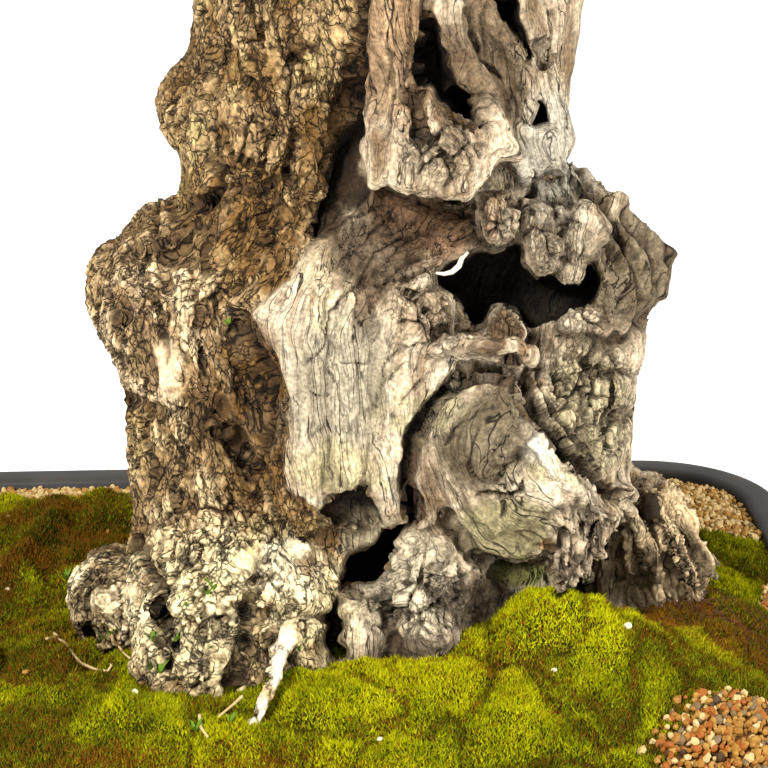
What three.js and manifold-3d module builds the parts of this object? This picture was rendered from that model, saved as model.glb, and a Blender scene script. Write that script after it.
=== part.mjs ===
// An old olive bonsai: a stout, hollowed trunk of burls and bare dead wood, short boughs that carry
// clipped masses of leaves, and a shallow dark pot filled with soil.
// Units are millimetres and +Z is up. The origin is the centre of the pot's flat underside.

import * as THREE from "three";
import { triTable } from "three/addons/objects/MarchingCubes.js";
import { mergeVertices } from "three/addons/utils/BufferGeometryUtils.js";
import Module from "manifold-3d";

const wasm = await Module();
wasm.setup();

// Driving dimensions
const GAP = 0.35; // clear space between neighbouring pieces
const POT = {
  length: 500,
  depth: 340,
  height: 95,
  corner: 55, // plan radius of the rounded corners
  wall: 8,
  floor: 14,
  taper: 20, // how far the foot stands in from the rim on each side
  lipWidth: 5, // how far the lip stands out from the wall
  lipHeight: 17,
  lipRound: 3,
  footHeight: 7,
  footInset: 6,
  drainRadius: 14,
  drainSpacing: 210,
  cornerSteps: 4,
};
const TREE = { x: 75, y: -15, turn: THREE.MathUtils.degToRad(-3) }; // where the trunk stands in the pot
const GROUND = POT.height; // level of the cut across the trunk's foot, which heights on the ground start from
const SOIL = {
  level: 9,
  edge: -7, // height at the pot's wall
  edgeWidth: 64, // how far in from the wall it rises to its level
  moundEdge: 40, // mounds die out within this distance of the wall
  cell: 32, // spacing of the ground's points
  clear: 0.7, // space left round the trunk's foot
};
// Mounds of moss on the ground, in the trunk's frame
const MOUNDS = {
  underTheWedge: { at: [62, -58], radii: [36, 20], rise: 27 },
  beforeTheLump: { at: [2, -76], radii: [48, 20], rise: 5 },
  slope: { at: [20, -100], radii: [110, 50], rise: 12 },
  leftBack: { at: [-150, 60], radii: [60, 50], rise: 8 },
  right: { at: [112, -44], radii: [36, 26], rise: 7 },
  farLeft: { at: [-240, 20], radii: [60, 70], rise: 8 },
  leftFront: { at: [-130, -110], radii: [50, 40], rise: 6 },
};

const BLEND = 9; // radius that rounds the valleys between the trunk's forms
const HOLLOW_BLEND = 5;
const TRUNK_GRID = {
  low: [-134, -116, -22],
  high: [138, 108, 370],
  foot: -10, // where the wood ends below the cut at ground level
  fine: 10.6, // cell size on the side that is seen most
  coarse: 15, // on the far side, and above the neck
  neck: 250,
};

const BOUGH = {
  tipRadius: 4.6,
  sides: 7,
  steps: 6,
  entry: 0.74, // how far out in its mass a bough ends
  rise: 0.26,
  run: 0.5,
  level: 0.34,
  probes: 24, // points along it that twigs and leaves are kept clear of
};
const STEM = { radius: 4.2, kneeRadius: 3.8, endRadius: 2.6, straight: 14, lap: 0.25 }; // straight before it bends
const TWIG = {
  primaries: 7,
  radius: 2.7,
  endRadius: 1.3,
  highest: 0.99, // share of the stem where the topmost twig leaves it
  lowest: 0.5, // and the lowest one
  topmost: 0.92, // sine of the steepest twig's climb
  fall: 1.3, // how far the sines run down from there
  reach: 0.985, // share of the mass's reach where the leaves at the ends have their tips
  forkAt: 0.45,
  sideRadius: 1.9,
  sideSpan: 0.4,
  sideTurn: 0.95,
  pairAt: 0.86,
};
const LEAF = { length: 62, width: 24, thickness: 2, sunk: 6, spread: 0.8, droop: 0.08, apart: 25 };
const OWN_SPACE = 0.04; // share of a mass's reach that it keeps clear of its neighbours
const LIMB_CLEAR = 2.5;
const SEED = 31;

// The trunk's own frame: x to the viewer's right, y away from the viewer, z up from the ground.
// A form is a rule that gives the distance to its surface, negative inside.

const lobe = (at, radii) => (x, y, z) => {
  const [px, py, pz] = [x - at[0], y - at[1], z - at[2]];
  const scaled = Math.hypot(px / radii[0], py / radii[1], pz / radii[2]);
  const slope = Math.hypot(px / radii[0] ** 2, py / radii[1] ** 2, pz / radii[2] ** 2);
  return slope < 1e-9 ? -Math.min(...radii) : (scaled * (scaled - 1)) / slope;
};

const limb = (from, to, fromRadius, toRadius) => {
  const [ax, ay, az] = [to[0] - from[0], to[1] - from[1], to[2] - from[2]];
  const squared = ax * ax + ay * ay + az * az;
  return (x, y, z) => {
    const [px, py, pz] = [x - from[0], y - from[1], z - from[2]];
    const t = THREE.MathUtils.clamp((px * ax + py * ay + pz * az) / squared, 0, 1);
    const radius = fromRadius + (toRadius - fromRadius) * t;
    return Math.hypot(px - ax * t, py - ay * t, pz - az * t) - radius;
  };
};

// A slab with rounded edges, leaned back by tilt and turned about the vertical, in degrees.
const slab = (at, half, round, tilt, turn) => {
  const around = new THREE.Euler(THREE.MathUtils.degToRad(tilt), 0, THREE.MathUtils.degToRad(turn), "ZXY");
  const back = new THREE.Matrix4().makeRotationFromEuler(around).transpose();
  const place = new THREE.Vector3();
  return (x, y, z) => {
    place.set(x - at[0], y - at[1], z - at[2]).applyMatrix4(back);
    const [px, py, pz] = [Math.abs(place.x) - half[0], Math.abs(place.y) - half[1], Math.abs(place.z) - half[2]];
    const outside = Math.hypot(Math.max(px, 0), Math.max(py, 0), Math.max(pz, 0));
    return outside + Math.min(Math.max(px, py, pz), 0) - round;
  };
};

const TRUNK_FORMS = {
  heart: lobe([2, 10, 88], [78, 58, 132]),
  upperHeart: lobe([2, 2, 236], [58, 50, 96]),
  head: lobe([-2, 2, 296], [50, 44, 46]),
  // Live bark on the left
  barkColumn: limb([-31, -20, 270], [-36, -24, 160], 30, 35),
  upperBurl: lobe([-60, -4, 200], [18, 23, 20]),
  leftBurl: lobe([-68, -14, 134], [34, 40, 34]),
  leftKnob: lobe([-92, -12, 137], [12, 16, 12]),
  lowerLeft: limb([-60, -28, 104], [-60, -30, 44], 31, 30),
  rootBurl: lobe([-98, -22, 22], [17, 20, 20]),
  frontFlare: lobe([-50, -42, 26], [40, 42, 48]),
  frontToe: limb([-66, -60, 14], [-32, -76, 8], 21, 15),
  paleRoot: limb([-35, -80, 32], [-43, -96, 0], 5, 4.5),
  // Bare wood in the middle
  shield: slab([-9, -52, 112], [18, 6, 34], 13, -4, 6),
  shieldWing: lobe([-25, -48, 140], [22, 20, 34]),
  shieldHem: slab([-14, -60, 88], [15, 3, 12], 9, -8, 4),
  middleColumn: limb([4, -42, 276], [12, -46, 206], 23, 24),
  muzzle: lobe([17, -58, 199], [22, 22, 19]),
  shell: lobe([42, -44, 86], [32, 31, 34]),
  shellRim: limb([26, -66, 112], [20, -68, 80], 9, 9),
  underSheet: slab([-14, -50, 58], [14, 2, 14], 6, 0, 0),
  frontLump: lobe([15, -52, 34], [16, 24, 30]),
  frontLumpTop: lobe([18, -54, 52], [13, 17, 14]),
  frontLumpLeft: lobe([-8, -58, 28], [9, 16, 16]),
  frontLumpFoot: lobe([34, -48, 18], [20, 20, 22]),
  cleftFill: limb([-15, -30, 290], [-17, -36, 178], 17, 17),
  // Bare wood on the right
  rightStrand: limb([51, -6, 250], [51, -8, 190], 13, 13),
  rightShoulder: limb([49, -8, 180], [77, -8, 145], 15, 21),
  rightColumn: limb([66, -20, 130], [60, -22, 66], 26, 26),
  innerStrand: limb([33, -42, 264], [50, -40, 196], 12, 14),
  stump: lobe([96, 8, 26], [21, 21, 34]),
  stumpSpur: limb([84, 0, 58], [111, 4, 12], 10, 9),
  wedge: limb([74, -34, 62], [60, -60, 26], 9, 8),
  // The far side
  backRidge: limb([22, 48, 4], [8, 34, 210], 30, 26),
  backBurl: lobe([-40, 42, 112], [36, 32, 40]),
  backRoot: lobe([52, 50, 14], [38, 34, 30]),
  backLeftRoot: lobe([-68, 34, 12], [34, 34, 28]),
  // A cut snag of dead wood beside the crown
  snag: limb([26, -10, 306], [50, -16, 352], 15, 6),
};

const TRUNK_HOLLOWS = {
  bowl: lobe([13, -94, 176], [25, 31, 13]),
  mouth: lobe([45, -68, 150], [27, 50, 12]),
  mouthCorner: lobe([24, -74, 154], [13, 30, 6]),
  footCave: lobe([-5, -84, 56], [10, 40, 12]),
  shellGroove: limb([10, -82, 104], [6, -84, 66], 5, 6),
  underHem: lobe([-10, -88, 72], [10, 24, 8]),
  underShell: lobe([46, -76, 34], [20, 26, 16]),
  upperWindow: lobe([44, -56, 238], [9, 38, 21]),
  strandGap: lobe([28, -72, 211], [7, 26, 11]),
};

// The crown's masses of leaves, and the place inside the trunk where each one's bough grows from
const MASSES = {
  apex: { at: [-8, 6, 548], reach: [116, 106, 70], socket: [-4, 6, 316], foot: 20 },
  left_high: { at: [-130, -24, 474], reach: [104, 98, 60], socket: [-26, -6, 308], foot: 18 },
  right_high: { at: [122, 22, 484], reach: [104, 96, 60], socket: [22, 12, 312], foot: 17 },
  left_low: { at: [-216, 22, 388], reach: [100, 94, 52], socket: [-30, 6, 272], foot: 18 },
  right_low: { at: [208, -16, 394], reach: [98, 92, 52], socket: [28, 2, 268], foot: 16 },
  front: { at: [34, -142, 430], reach: [108, 84, 54], socket: [6, -20, 296], foot: 16 },
  front_left: { at: [-112, -152, 392], reach: [96, 80, 50], socket: [-24, -18, 272], foot: 15 },
  back: { at: [-62, 146, 434], reach: [108, 86, 56], socket: [-10, 22, 294], foot: 17 },
  back_right: { at: [100, 148, 404], reach: [98, 84, 53], socket: [16, 24, 264], foot: 15 },
};

// A smooth lesser of two distances.
function blended(a, b, radius) {
  const overlap = Math.max(radius - Math.abs(a - b), 0) / radius;
  return Math.min(a, b) - (overlap * overlap * radius) / 4;
}

function trunkDistance(x, y, z) {
  let distance = Infinity;
  for (const form of Object.values(TRUNK_FORMS)) {
    const next = form(x, y, z);
    distance = distance === Infinity ? next : blended(distance, next, BLEND);
  }
  for (const hollow of Object.values(TRUNK_HOLLOWS)) {
    distance = -blended(-distance, hollow(x, y, z), HOLLOW_BLEND);
  }
  return Math.max(distance, TRUNK_GRID.foot - z);
}

// Grid lines from low to high, with cells that widen from fine to coarse past the turning point.
function gridLines(low, high, fine, coarse, turn) {
  const lines = [low];
  while (lines.at(-1) < high) lines.push(lines.at(-1) + (lines.at(-1) < turn ? fine : coarse));
  return lines;
}

// The eight corners and twelve edges of a grid cell, in the order that the marching cubes table uses.
const CELL_CORNERS = [[0, 0, 0], [1, 0, 0], [1, 1, 0], [0, 1, 0], [0, 0, 1], [1, 0, 1], [1, 1, 1], [0, 1, 1]];
const CELL_EDGES = [
  [0, 1], [1, 2], [2, 3], [3, 0], [4, 5], [5, 6], [6, 7], [7, 4], [0, 4], [1, 5], [2, 6], [3, 7],
];
const MOST_TABLE_CORNERS = 16; // entries for each case in the table, ended by -1
const EDGE_MARGIN = 0.14; // a surface point keeps this share of an edge away from the edge's ends

// The closed surface where a distance rule reads zero, by marching cubes over the grid.
function skinOf(distance, lines) {
  const [xs, ys, zs] = lines;
  const nodeAt = (i, j, k) => (k * ys.length + j) * xs.length + i;
  const values = new Float64Array(xs.length * ys.length * zs.length);
  zs.forEach((z, k) =>
    ys.forEach((y, j) => xs.forEach((x, i) => (values[nodeAt(i, j, k)] = distance(x, y, z)))),
  );
  const points = [];
  const faces = [];
  const pointOn = new Map();
  const pointAt = (nodes, places) => {
    const key = Math.min(...nodes) * values.length + Math.max(...nodes);
    if (!pointOn.has(key)) {
      const [a, b] = nodes.map((node) => values[node]);
      const share = THREE.MathUtils.clamp(a / (a - b), EDGE_MARGIN, 1 - EDGE_MARGIN);
      pointOn.set(key, points.length / 3);
      points.push(...places[0].map((from, axis) => from + (places[1][axis] - from) * share));
    }
    return pointOn.get(key);
  };
  for (let k = 0; k + 1 < zs.length; k++) {
    for (let j = 0; j + 1 < ys.length; j++) {
      for (let i = 0; i + 1 < xs.length; i++) {
        const nodes = CELL_CORNERS.map(([a, b, c]) => nodeAt(i + a, j + b, k + c));
        const places = CELL_CORNERS.map(([a, b, c]) => [xs[i + a], ys[j + b], zs[k + c]]);
        const chosen = nodes.reduce((bits, node, n) => bits | (values[node] > 0 ? 1 << n : 0), 0);
        for (let n = chosen * MOST_TABLE_CORNERS; triTable[n] >= 0; n++) {
          const ends = CELL_EDGES[triTable[n]];
          faces.push(pointAt(ends.map((end) => nodes[end]), ends.map((end) => places[end])));
        }
      }
    }
  }
  return new THREE.BufferGeometry()
    .setAttribute("position", new THREE.Float32BufferAttribute(points, 3))
    .setIndex(faces);
}

// A closed geometry as a solid that can be joined and cut.
function solidOf(geometry) {
  const bare = geometry.clone();
  bare.deleteAttribute("normal");
  bare.deleteAttribute("uv");
  const merged = mergeVertices(bare, 1e-4);
  return new wasm.Manifold(
    new wasm.Mesh({
      numProp: 3,
      vertProperties: merged.attributes.position.array,
      triVerts: new Uint32Array(merged.index.array),
    }),
  );
}

// A solid back as a geometry: its largest body, without loose scraps or sealed hollows.
function geometryOf(solid) {
  const largest = solid.decompose().reduce((a, b) => (b.volume() > a.volume() ? b : a));
  const { numProp, numVert, vertProperties, triVerts } = largest.getMesh();
  const points = new Float32Array(numVert * 3);
  for (let n = 0; n < numVert; n++) {
    points.set(vertProperties.subarray(n * numProp, n * numProp + 3), n * 3);
  }
  const geometry = new THREE.BufferGeometry()
    .setAttribute("position", new THREE.BufferAttribute(points, 3))
    .setIndex(new THREE.BufferAttribute(triVerts, 1));
  geometry.computeVertexNormals();
  return geometry;
}

// Rings of equally many points joined in order, with a flat cap on each end.
function loft(rings) {
  const sides = rings[0].length;
  const points = rings.flat().flatMap((p) => p.toArray());
  const faces = [];
  for (let r = 0; r + 1 < rings.length; r++) {
    for (let s = 0; s < sides; s++) {
      const [a, b] = [r * sides + s, r * sides + ((s + 1) % sides)];
      faces.push(a, b, b + sides, a, b + sides, a + sides);
    }
  }
  const cap = (ring, first, flip) => {
    const centre = points.length / 3;
    points.push(...ring.reduce((sum, p) => sum.add(p), new THREE.Vector3()).divideScalar(sides).toArray());
    for (let s = 0; s < sides; s++) {
      const [a, b] = [first + s, first + ((s + 1) % sides)];
      faces.push(...(flip ? [centre, b, a] : [centre, a, b]));
    }
  };
  cap(rings[0], 0, true);
  cap(rings.at(-1), (rings.length - 1) * sides, false);
  return new THREE.BufferGeometry()
    .setAttribute("position", new THREE.Float32BufferAttribute(points, 3))
    .setIndex(faces);
}

// A limb along a curve that tapers evenly from its foot to its tip.
function taperedTube(curve, footRadius, tipRadius, sides, steps) {
  const { normals, binormals } = curve.computeFrenetFrames(steps, false);
  const rings = [];
  for (let n = 0; n <= steps; n++) {
    const radius = THREE.MathUtils.lerp(footRadius, tipRadius, n / steps);
    const centre = curve.getPointAt(n / steps);
    const ring = [];
    for (let s = 0; s < sides; s++) {
      const angle = (s / sides) * Math.PI * 2;
      const across = normals[n].clone().multiplyScalar(Math.cos(angle) * radius);
      ring.push(centre.clone().add(across).addScaledVector(binormals[n], Math.sin(angle) * radius));
    }
    rings.push(ring);
  }
  return loft(rings);
}

// The pot

// One level ring of the pot's plan, a rectangle with rounded corners, drawn in by inset.
function potRing(inset, z) {
  const radius = Math.max(POT.corner - inset, 1);
  const [halfLength, halfDepth] = [POT.length / 2 - inset - radius, POT.depth / 2 - inset - radius];
  const ring = [];
  for (const [quarter, sx, sy] of [[0, 1, 1], [1, -1, 1], [2, -1, -1], [3, 1, -1]]) {
    for (let n = 0; n <= POT.cornerSteps; n++) {
      const angle = (quarter + n / POT.cornerSteps) * (Math.PI / 2);
      const x = sx * halfLength + Math.cos(angle) * radius;
      ring.push(new THREE.Vector3(x, sy * halfDepth + Math.sin(angle) * radius, z));
    }
  }
  return ring;
}

// How far the outside of the pot's wall stands in from the rim at a height.
function wallInset(z) {
  const t = (z - POT.footHeight) / (POT.height - POT.lipHeight - POT.footHeight);
  return POT.lipWidth + POT.taper * (1 - t);
}

function potGeometry() {
  const { height, lipHeight, lipRound, lipWidth, wall, floor, footHeight, footInset } = POT;
  const footLine = wallInset(footHeight);
  const inside = lipWidth + wall;
  const shell = loft([
    potRing(footLine + footInset, 0),
    potRing(footLine + footInset, footHeight),
    potRing(footLine, footHeight),
    potRing(lipWidth, height - lipHeight),
    potRing(lipRound, height - lipHeight),
    potRing(0, height - lipHeight + lipRound),
    potRing(0, height - lipRound),
    potRing(lipRound, height),
    potRing(inside - lipRound, height),
    potRing(inside, height - lipRound),
    potRing(footLine + wall, floor),
  ]);
  let pot = solidOf(shell);
  for (const side of [-1, 1]) {
    const drain = new THREE.CylinderGeometry(POT.drainRadius, POT.drainRadius, 3 * floor, 16);
    drain.rotateX(Math.PI / 2).translate((side * POT.drainSpacing) / 2, 0, 0);
    pot = pot.subtract(solidOf(drain));
  }
  return geometryOf(pot);
}

// How far in from the top of the pot's wall a point lies.
function wallDistance(x, y) {
  const inset = POT.lipWidth + POT.wall;
  const radius = POT.corner - inset;
  const across = Math.abs(x) - (POT.length / 2 - inset - radius);
  const deep = Math.abs(y) - (POT.depth / 2 - inset - radius);
  return radius - Math.hypot(Math.max(across, 0), Math.max(deep, 0)) - Math.min(Math.max(across, deep), 0);
}

// The ground's height at a point of the pot's plan.
function groundHeight(x, y, toTree) {
  const margin = Math.max(wallDistance(x, y), 0);
  const place = new THREE.Vector3(x, y, 0).applyMatrix4(toTree);
  let height = THREE.MathUtils.lerp(SOIL.edge, SOIL.level, THREE.MathUtils.smoothstep(margin, 0, SOIL.edgeWidth));
  for (const { at, radii, rise } of Object.values(MOUNDS)) {
    const squared = ((place.x - at[0]) / radii[0]) ** 2 + ((place.y - at[1]) / radii[1]) ** 2;
    height += rise * Math.exp(-squared) * THREE.MathUtils.smoothstep(margin, 0, SOIL.moundEdge);
  }
  return GROUND + height;
}

// The soil with its mounds, which fills the pot and lies up against the trunk's foot.
function soilGeometry(trunk, toPot) {
  const toTree = toPot.clone().invert();
  const [columns, rows] = [Math.round(POT.length / SOIL.cell), Math.round(POT.depth / SOIL.cell)];
  const ground = new THREE.BoxGeometry(POT.length, POT.depth, POT.height, columns, rows, 1);
  const { position } = ground.attributes;
  for (let n = 0; n < position.count; n++) {
    const [x, y] = [position.getX(n), position.getY(n)];
    position.setZ(n, position.getZ(n) > 0 ? groundHeight(x, y, toTree) : 0);
  }
  const inside = POT.lipWidth + POT.wall + GAP;
  const filling = loft([
    potRing(wallInset(POT.footHeight) + POT.wall + GAP, POT.floor + GAP),
    potRing(inside, POT.height - POT.lipRound),
    potRing(inside, 2 * POT.height),
  ]);
  const standing = grown(trunk.clone().applyMatrix4(toPot), SOIL.clear);
  return geometryOf(solidOf(filling).intersect(solidOf(ground)).subtract(solidOf(standing)));
}

// The trunk

// The trunk, cut flat at the ground.
function trunkGeometry() {
  const { low, high, fine, coarse, foot, neck } = TRUNK_GRID;
  const lines = [
    gridLines(low[0], high[0], fine, fine, high[0]),
    gridLines(low[1], high[1], fine, coarse, 0),
    gridLines(low[2], high[2], fine, coarse, neck),
  ];
  const [length, depth] = [2 * high[0] - 2 * low[0], 2 * high[1] - 2 * low[1]];
  const below = new THREE.BoxGeometry(length, depth, -4 * foot).translate(0, 0, 2 * foot);
  return geometryOf(solidOf(skinOf(trunkDistance, lines)).subtract(solidOf(below)));
}

// A geometry with every point moved outwards by a distance.
function grown(geometry, distance) {
  const bigger = geometry.clone();
  const { position, normal } = bigger.attributes;
  for (let n = 0; n < position.count; n++) {
    const outward = new THREE.Vector3().fromBufferAttribute(normal, n).multiplyScalar(distance);
    const { x, y, z } = outward.add(new THREE.Vector3().fromBufferAttribute(position, n));
    position.setXYZ(n, x, y, z);
  }
  return bigger;
}

// The crown

const UP = new THREE.Vector3(0, 0, 1);
const GOLDEN_ANGLE = Math.PI * (3 - Math.sqrt(5));
const vector = (point) => new THREE.Vector3(...point);

// How far out a point lies in a mass: 0 at its centre, 1 on its surface.
function level(mass, point) {
  return point.clone().sub(vector(mass.at)).divide(vector(mass.reach)).length();
}

// The curve of a mass's bough, which leans out of its socket, rises, and levels out as it enters the mass.
function boughCurve(mass) {
  const socket = vector(mass.socket);
  const centre = vector(mass.at);
  const way = centre.clone().sub(socket);
  const depth = way.clone().divide(vector(mass.reach)).length();
  const tip = centre.clone().addScaledVector(way, -BOUGH.entry / depth);
  const run = tip.clone().sub(socket);
  const flat = run.clone().setZ(0);
  const first = socket.clone().addScaledVector(flat, BOUGH.run).addScaledVector(UP, run.z * BOUGH.rise);
  const second = tip.clone().addScaledVector(flat, -BOUGH.level).addScaledVector(UP, -run.z * BOUGH.rise);
  return new THREE.CubicBezierCurve3(socket, first, second, tip);
}

const BOUGHS = Object.fromEntries(Object.entries(MASSES).map(([name, mass]) => [name, boughCurve(mass)]));

// A bough's points and radii, for keeping twigs and leaves clear of it.
const LIMB_POINTS = Object.entries(BOUGHS).flatMap(([name, curve]) =>
  curve.getSpacedPoints(BOUGH.probes).map((point, n) => ({
    point,
    radius: THREE.MathUtils.lerp(MASSES[name].foot, BOUGH.tipRadius, n / BOUGH.probes),
  })),
);

// True if a point is in the mass's own space, nearer to it than to its neighbours, and clear of the limbs.
function isFree(mass, point) {
  const own = level(mass, point);
  if (own > 1) return false;
  const others = Object.values(MASSES).filter((other) => other !== mass);
  if (others.some((other) => level(other, point) < own + OWN_SPACE)) return false;
  if (trunkDistance(...point.toArray()) < LIMB_CLEAR) return false;
  return LIMB_POINTS.every((limbPoint) => {
    return limbPoint.point.distanceTo(point) > limbPoint.radius + LIMB_CLEAR;
  });
}

// A repeatable source of numbers from 0 to 1.
function seeded(seed) {
  let state = seed >>> 0;
  return () => {
    state = (state + 0x6d2b79f5) >>> 0;
    let mixed = Math.imul(state ^ (state >>> 15), 1 | state);
    mixed = (mixed + Math.imul(mixed ^ (mixed >>> 7), 61 | mixed)) ^ mixed;
    return ((mixed ^ (mixed >>> 14)) >>> 0) / 4294967296;
  };
}

// A three-sided twig from one point to another.
function twigSolid(from, to, radius, endRadius) {
  const way = to.clone().sub(from);
  const twig = new THREE.CylinderGeometry(endRadius, radius, way.length(), 3, 1);
  const turn = new THREE.Quaternion().setFromUnitVectors(new THREE.Vector3(0, 1, 0), way.clone().normalize());
  const middle = from.clone().lerp(to, 0.5);
  return solidOf(twig.applyMatrix4(new THREE.Matrix4().compose(middle, turn, new THREE.Vector3(1, 1, 1))));
}

// The matrix that lays a leaf of unit size along a direction, with its root sunk in the twig.
function leafMatrix(root, along) {
  const x = along.clone().normalize();
  const y = UP.clone().cross(x).normalize();
  const z = x.clone().cross(y);
  const centre = root.clone().addScaledVector(x, LEAF.length / 2 - LEAF.sunk);
  const size = new THREE.Vector3(LEAF.length / 2, LEAF.width / 2, LEAF.thickness / 2);
  return new THREE.Matrix4().makeBasis(x, y, z).scale(size).setPosition(centre);
}

// One mass of leaves: a stem, and twigs that leave it evenly on all sides, each with a side twig, a pair of
// leaves and a leaf at its end.
function massGeometry(mass, curve, seed) {
  const random = seeded(seed);
  const centre = vector(mass.at);
  const reach = vector(mass.reach);
  const stemFoot = curve.getPointAt(1).addScaledVector(curve.getTangentAt(1), GAP);
  const knee = stemFoot.clone().addScaledVector(curve.getTangentAt(1), STEM.straight);
  const stemStart = knee.clone().lerp(stemFoot, STEM.lap);
  const solids = [
    twigSolid(stemFoot, knee, STEM.radius, STEM.kneeRadius),
    twigSolid(stemStart, centre, STEM.kneeRadius, STEM.endRadius),
  ];

  const leafMiddles = [];
  const addLeaf = (root, along) => {
    const matrix = leafMatrix(root, along);
    const middle = new THREE.Vector3().setFromMatrixPosition(matrix);
    if (leafMiddles.some((other) => other.distanceTo(middle) < LEAF.apart)) return;
    const leaf = new THREE.OctahedronGeometry(1).applyMatrix4(matrix);
    const corners = leaf.attributes.position;
    for (let n = 0; n < corners.count; n++) {
      const corner = new THREE.Vector3().fromBufferAttribute(corners, n);
      if (corner.distanceTo(root) > LEAF.sunk + LEAF.thickness && !isFree(mass, corner)) return;
    }
    leafMiddles.push(middle);
    solids.push(solidOf(leaf));
  };

  const addPair = (root, way) => {
    const side = UP.clone().cross(way).normalize().applyAxisAngle(way, (random() - 0.5) * Math.PI);
    for (const sign of [-1, 1]) {
      const along = way.clone().multiplyScalar(1 - LEAF.spread / 2).addScaledVector(side, sign * LEAF.spread);
      addLeaf(root, along.addScaledVector(UP, -LEAF.droop));
    }
  };

  const addTwig = (from, to, radius) => {
    if (!isFree(mass, to)) return false;
    solids.push(twigSolid(from, to, radius, TWIG.endRadius));
    return true;
  };

  for (let n = 0; n < TWIG.primaries; n++) {
    const share = n / (TWIG.primaries - 1);
    const climb = TWIG.topmost - TWIG.fall * share;
    const angle = n * GOLDEN_ANGLE + random();
    const flat = Math.sqrt(1 - climb * climb);
    const outward = new THREE.Vector3(Math.cos(angle) * flat, Math.sin(angle) * flat, climb);
    const end = centre.clone().addScaledVector(outward.multiply(reach), TWIG.reach);
    const from = stemStart.clone().lerp(centre, THREE.MathUtils.lerp(TWIG.highest, TWIG.lowest, share));
    const way = end.clone().sub(from).normalize();
    const to = end.clone().addScaledVector(way, LEAF.sunk - LEAF.length);
    if (!addTwig(from, to, TWIG.radius)) continue;
    addLeaf(to, way);
    addPair(from.clone().lerp(to, TWIG.pairAt), way);

    const fork = from.clone().lerp(to, TWIG.forkAt);
    const sideWay = end.clone().sub(from).applyAxisAngle(UP, n % 2 ? TWIG.sideTurn : -TWIG.sideTurn);
    const sideTo = fork.clone().addScaledVector(sideWay, TWIG.sideSpan);
    if (addTwig(fork, sideTo, TWIG.sideRadius)) addLeaf(sideTo, sideWay);
  }
  return geometryOf(wasm.Manifold.union(solids));
}

// Finishes
const finish = (color, roughness) => new THREE.MeshStandardMaterial({ color, roughness, metalness: 0 });
const POT_FINISH = finish(0x3a3a3c, 0.6);
const SOIL_FINISH = finish(0x6f7a2c, 0.95);
const WOOD_FINISH = finish(0xb5a68c, 0.9);
const BOUGH_FINISH = finish(0x8d7f6b, 0.9);
const LEAF_FINISH = finish(0x66764e, 0.6);

function named(name, geometry, material) {
  const mesh = new THREE.Mesh(geometry, material);
  mesh.name = name;
  return mesh;
}

// Assembly
const bonsai = new THREE.Group();
bonsai.add(named("pot", potGeometry(), POT_FINISH));

const tree = new THREE.Group();
tree.position.set(TREE.x, TREE.y, GROUND);
tree.rotation.z = TREE.turn;
bonsai.add(tree);
tree.updateMatrix();
const trunk = trunkGeometry();
tree.add(named("trunk", trunk, WOOD_FINISH));
bonsai.add(named("soil", soilGeometry(trunk, tree.matrix), SOIL_FINISH));

const trunkClearance = solidOf(grown(trunk, GAP));
Object.entries(MASSES).forEach(([name, mass], n) => {
  const tube = taperedTube(BOUGHS[name], mass.foot, BOUGH.tipRadius, BOUGH.sides, BOUGH.steps);
  const bough = solidOf(tube).subtract(trunkClearance);
  tree.add(named(`bough_${name}`, geometryOf(bough), BOUGH_FINISH));
  tree.add(named(`leaves_${name}`, massGeometry(mass, BOUGHS[name], SEED + n), LEAF_FINISH));
});

export default bonsai;
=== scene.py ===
"""An old olive bonsai: hollowed trunk of bark and bare wood, leafy crown, moss and gravel in a dark pot.

Sizes are in millimetres in the tree's own frame (x to the viewer's right, y away from the viewer, z up from
the ground) until a mesh is made, which is in metres in the shared frame.
"""

import logging
import math
from dataclasses import dataclass, field, replace
from enum import Enum
from itertools import product
from typing import Optional, Sequence, Union

import bpy
import numpy as np
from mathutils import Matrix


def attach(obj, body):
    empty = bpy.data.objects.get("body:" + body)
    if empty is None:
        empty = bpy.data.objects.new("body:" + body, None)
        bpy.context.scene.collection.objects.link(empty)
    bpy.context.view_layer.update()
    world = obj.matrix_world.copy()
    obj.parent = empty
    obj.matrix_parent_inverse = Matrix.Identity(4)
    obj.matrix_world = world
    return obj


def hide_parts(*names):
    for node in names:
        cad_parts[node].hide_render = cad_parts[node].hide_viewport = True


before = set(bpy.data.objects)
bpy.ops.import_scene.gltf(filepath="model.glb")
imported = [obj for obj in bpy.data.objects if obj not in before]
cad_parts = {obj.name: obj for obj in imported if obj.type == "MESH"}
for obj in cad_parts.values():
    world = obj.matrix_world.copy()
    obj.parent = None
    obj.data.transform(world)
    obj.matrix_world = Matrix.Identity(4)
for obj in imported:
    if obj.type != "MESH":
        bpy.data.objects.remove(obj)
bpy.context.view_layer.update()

import openvdb

LOG = logging.getLogger("olive_bonsai")
Array = np.ndarray
Chance = np.random.Generator
Piece = bpy.types.Object
Finish = bpy.types.Material
Socket = bpy.types.NodeSocket
Value = Union[bpy.types.NodeSocket, float, tuple[float, ...]]
Point = tuple[float, float, float]
Colour = tuple[float, float, float]
Pixel = tuple[float, float]
Pair = tuple[float, float]
Tones = tuple[Colour, Colour]
Path = tuple[Pixel, ...]
Box = tuple[Array, Array]
Places = tuple[Array, Array, Array]
MM = 0.001
FULL_TURN = 2.0 * math.pi
TINY = 1e-12
FAR_AWAY = 1e9
LEVEL = np.array([1.0, 1.0, 0.0])


def linear(red: float, green: float, blue: float) -> Colour:
    """A colour as seen on a screen, 0 to 255, turned into linear light."""
    shares = [part / 255.0 for part in (red, green, blue)]
    return tuple(part / 12.92 if part <= 0.04045 else ((part + 0.055) / 1.055) ** 2.4 for part in shares)


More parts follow.
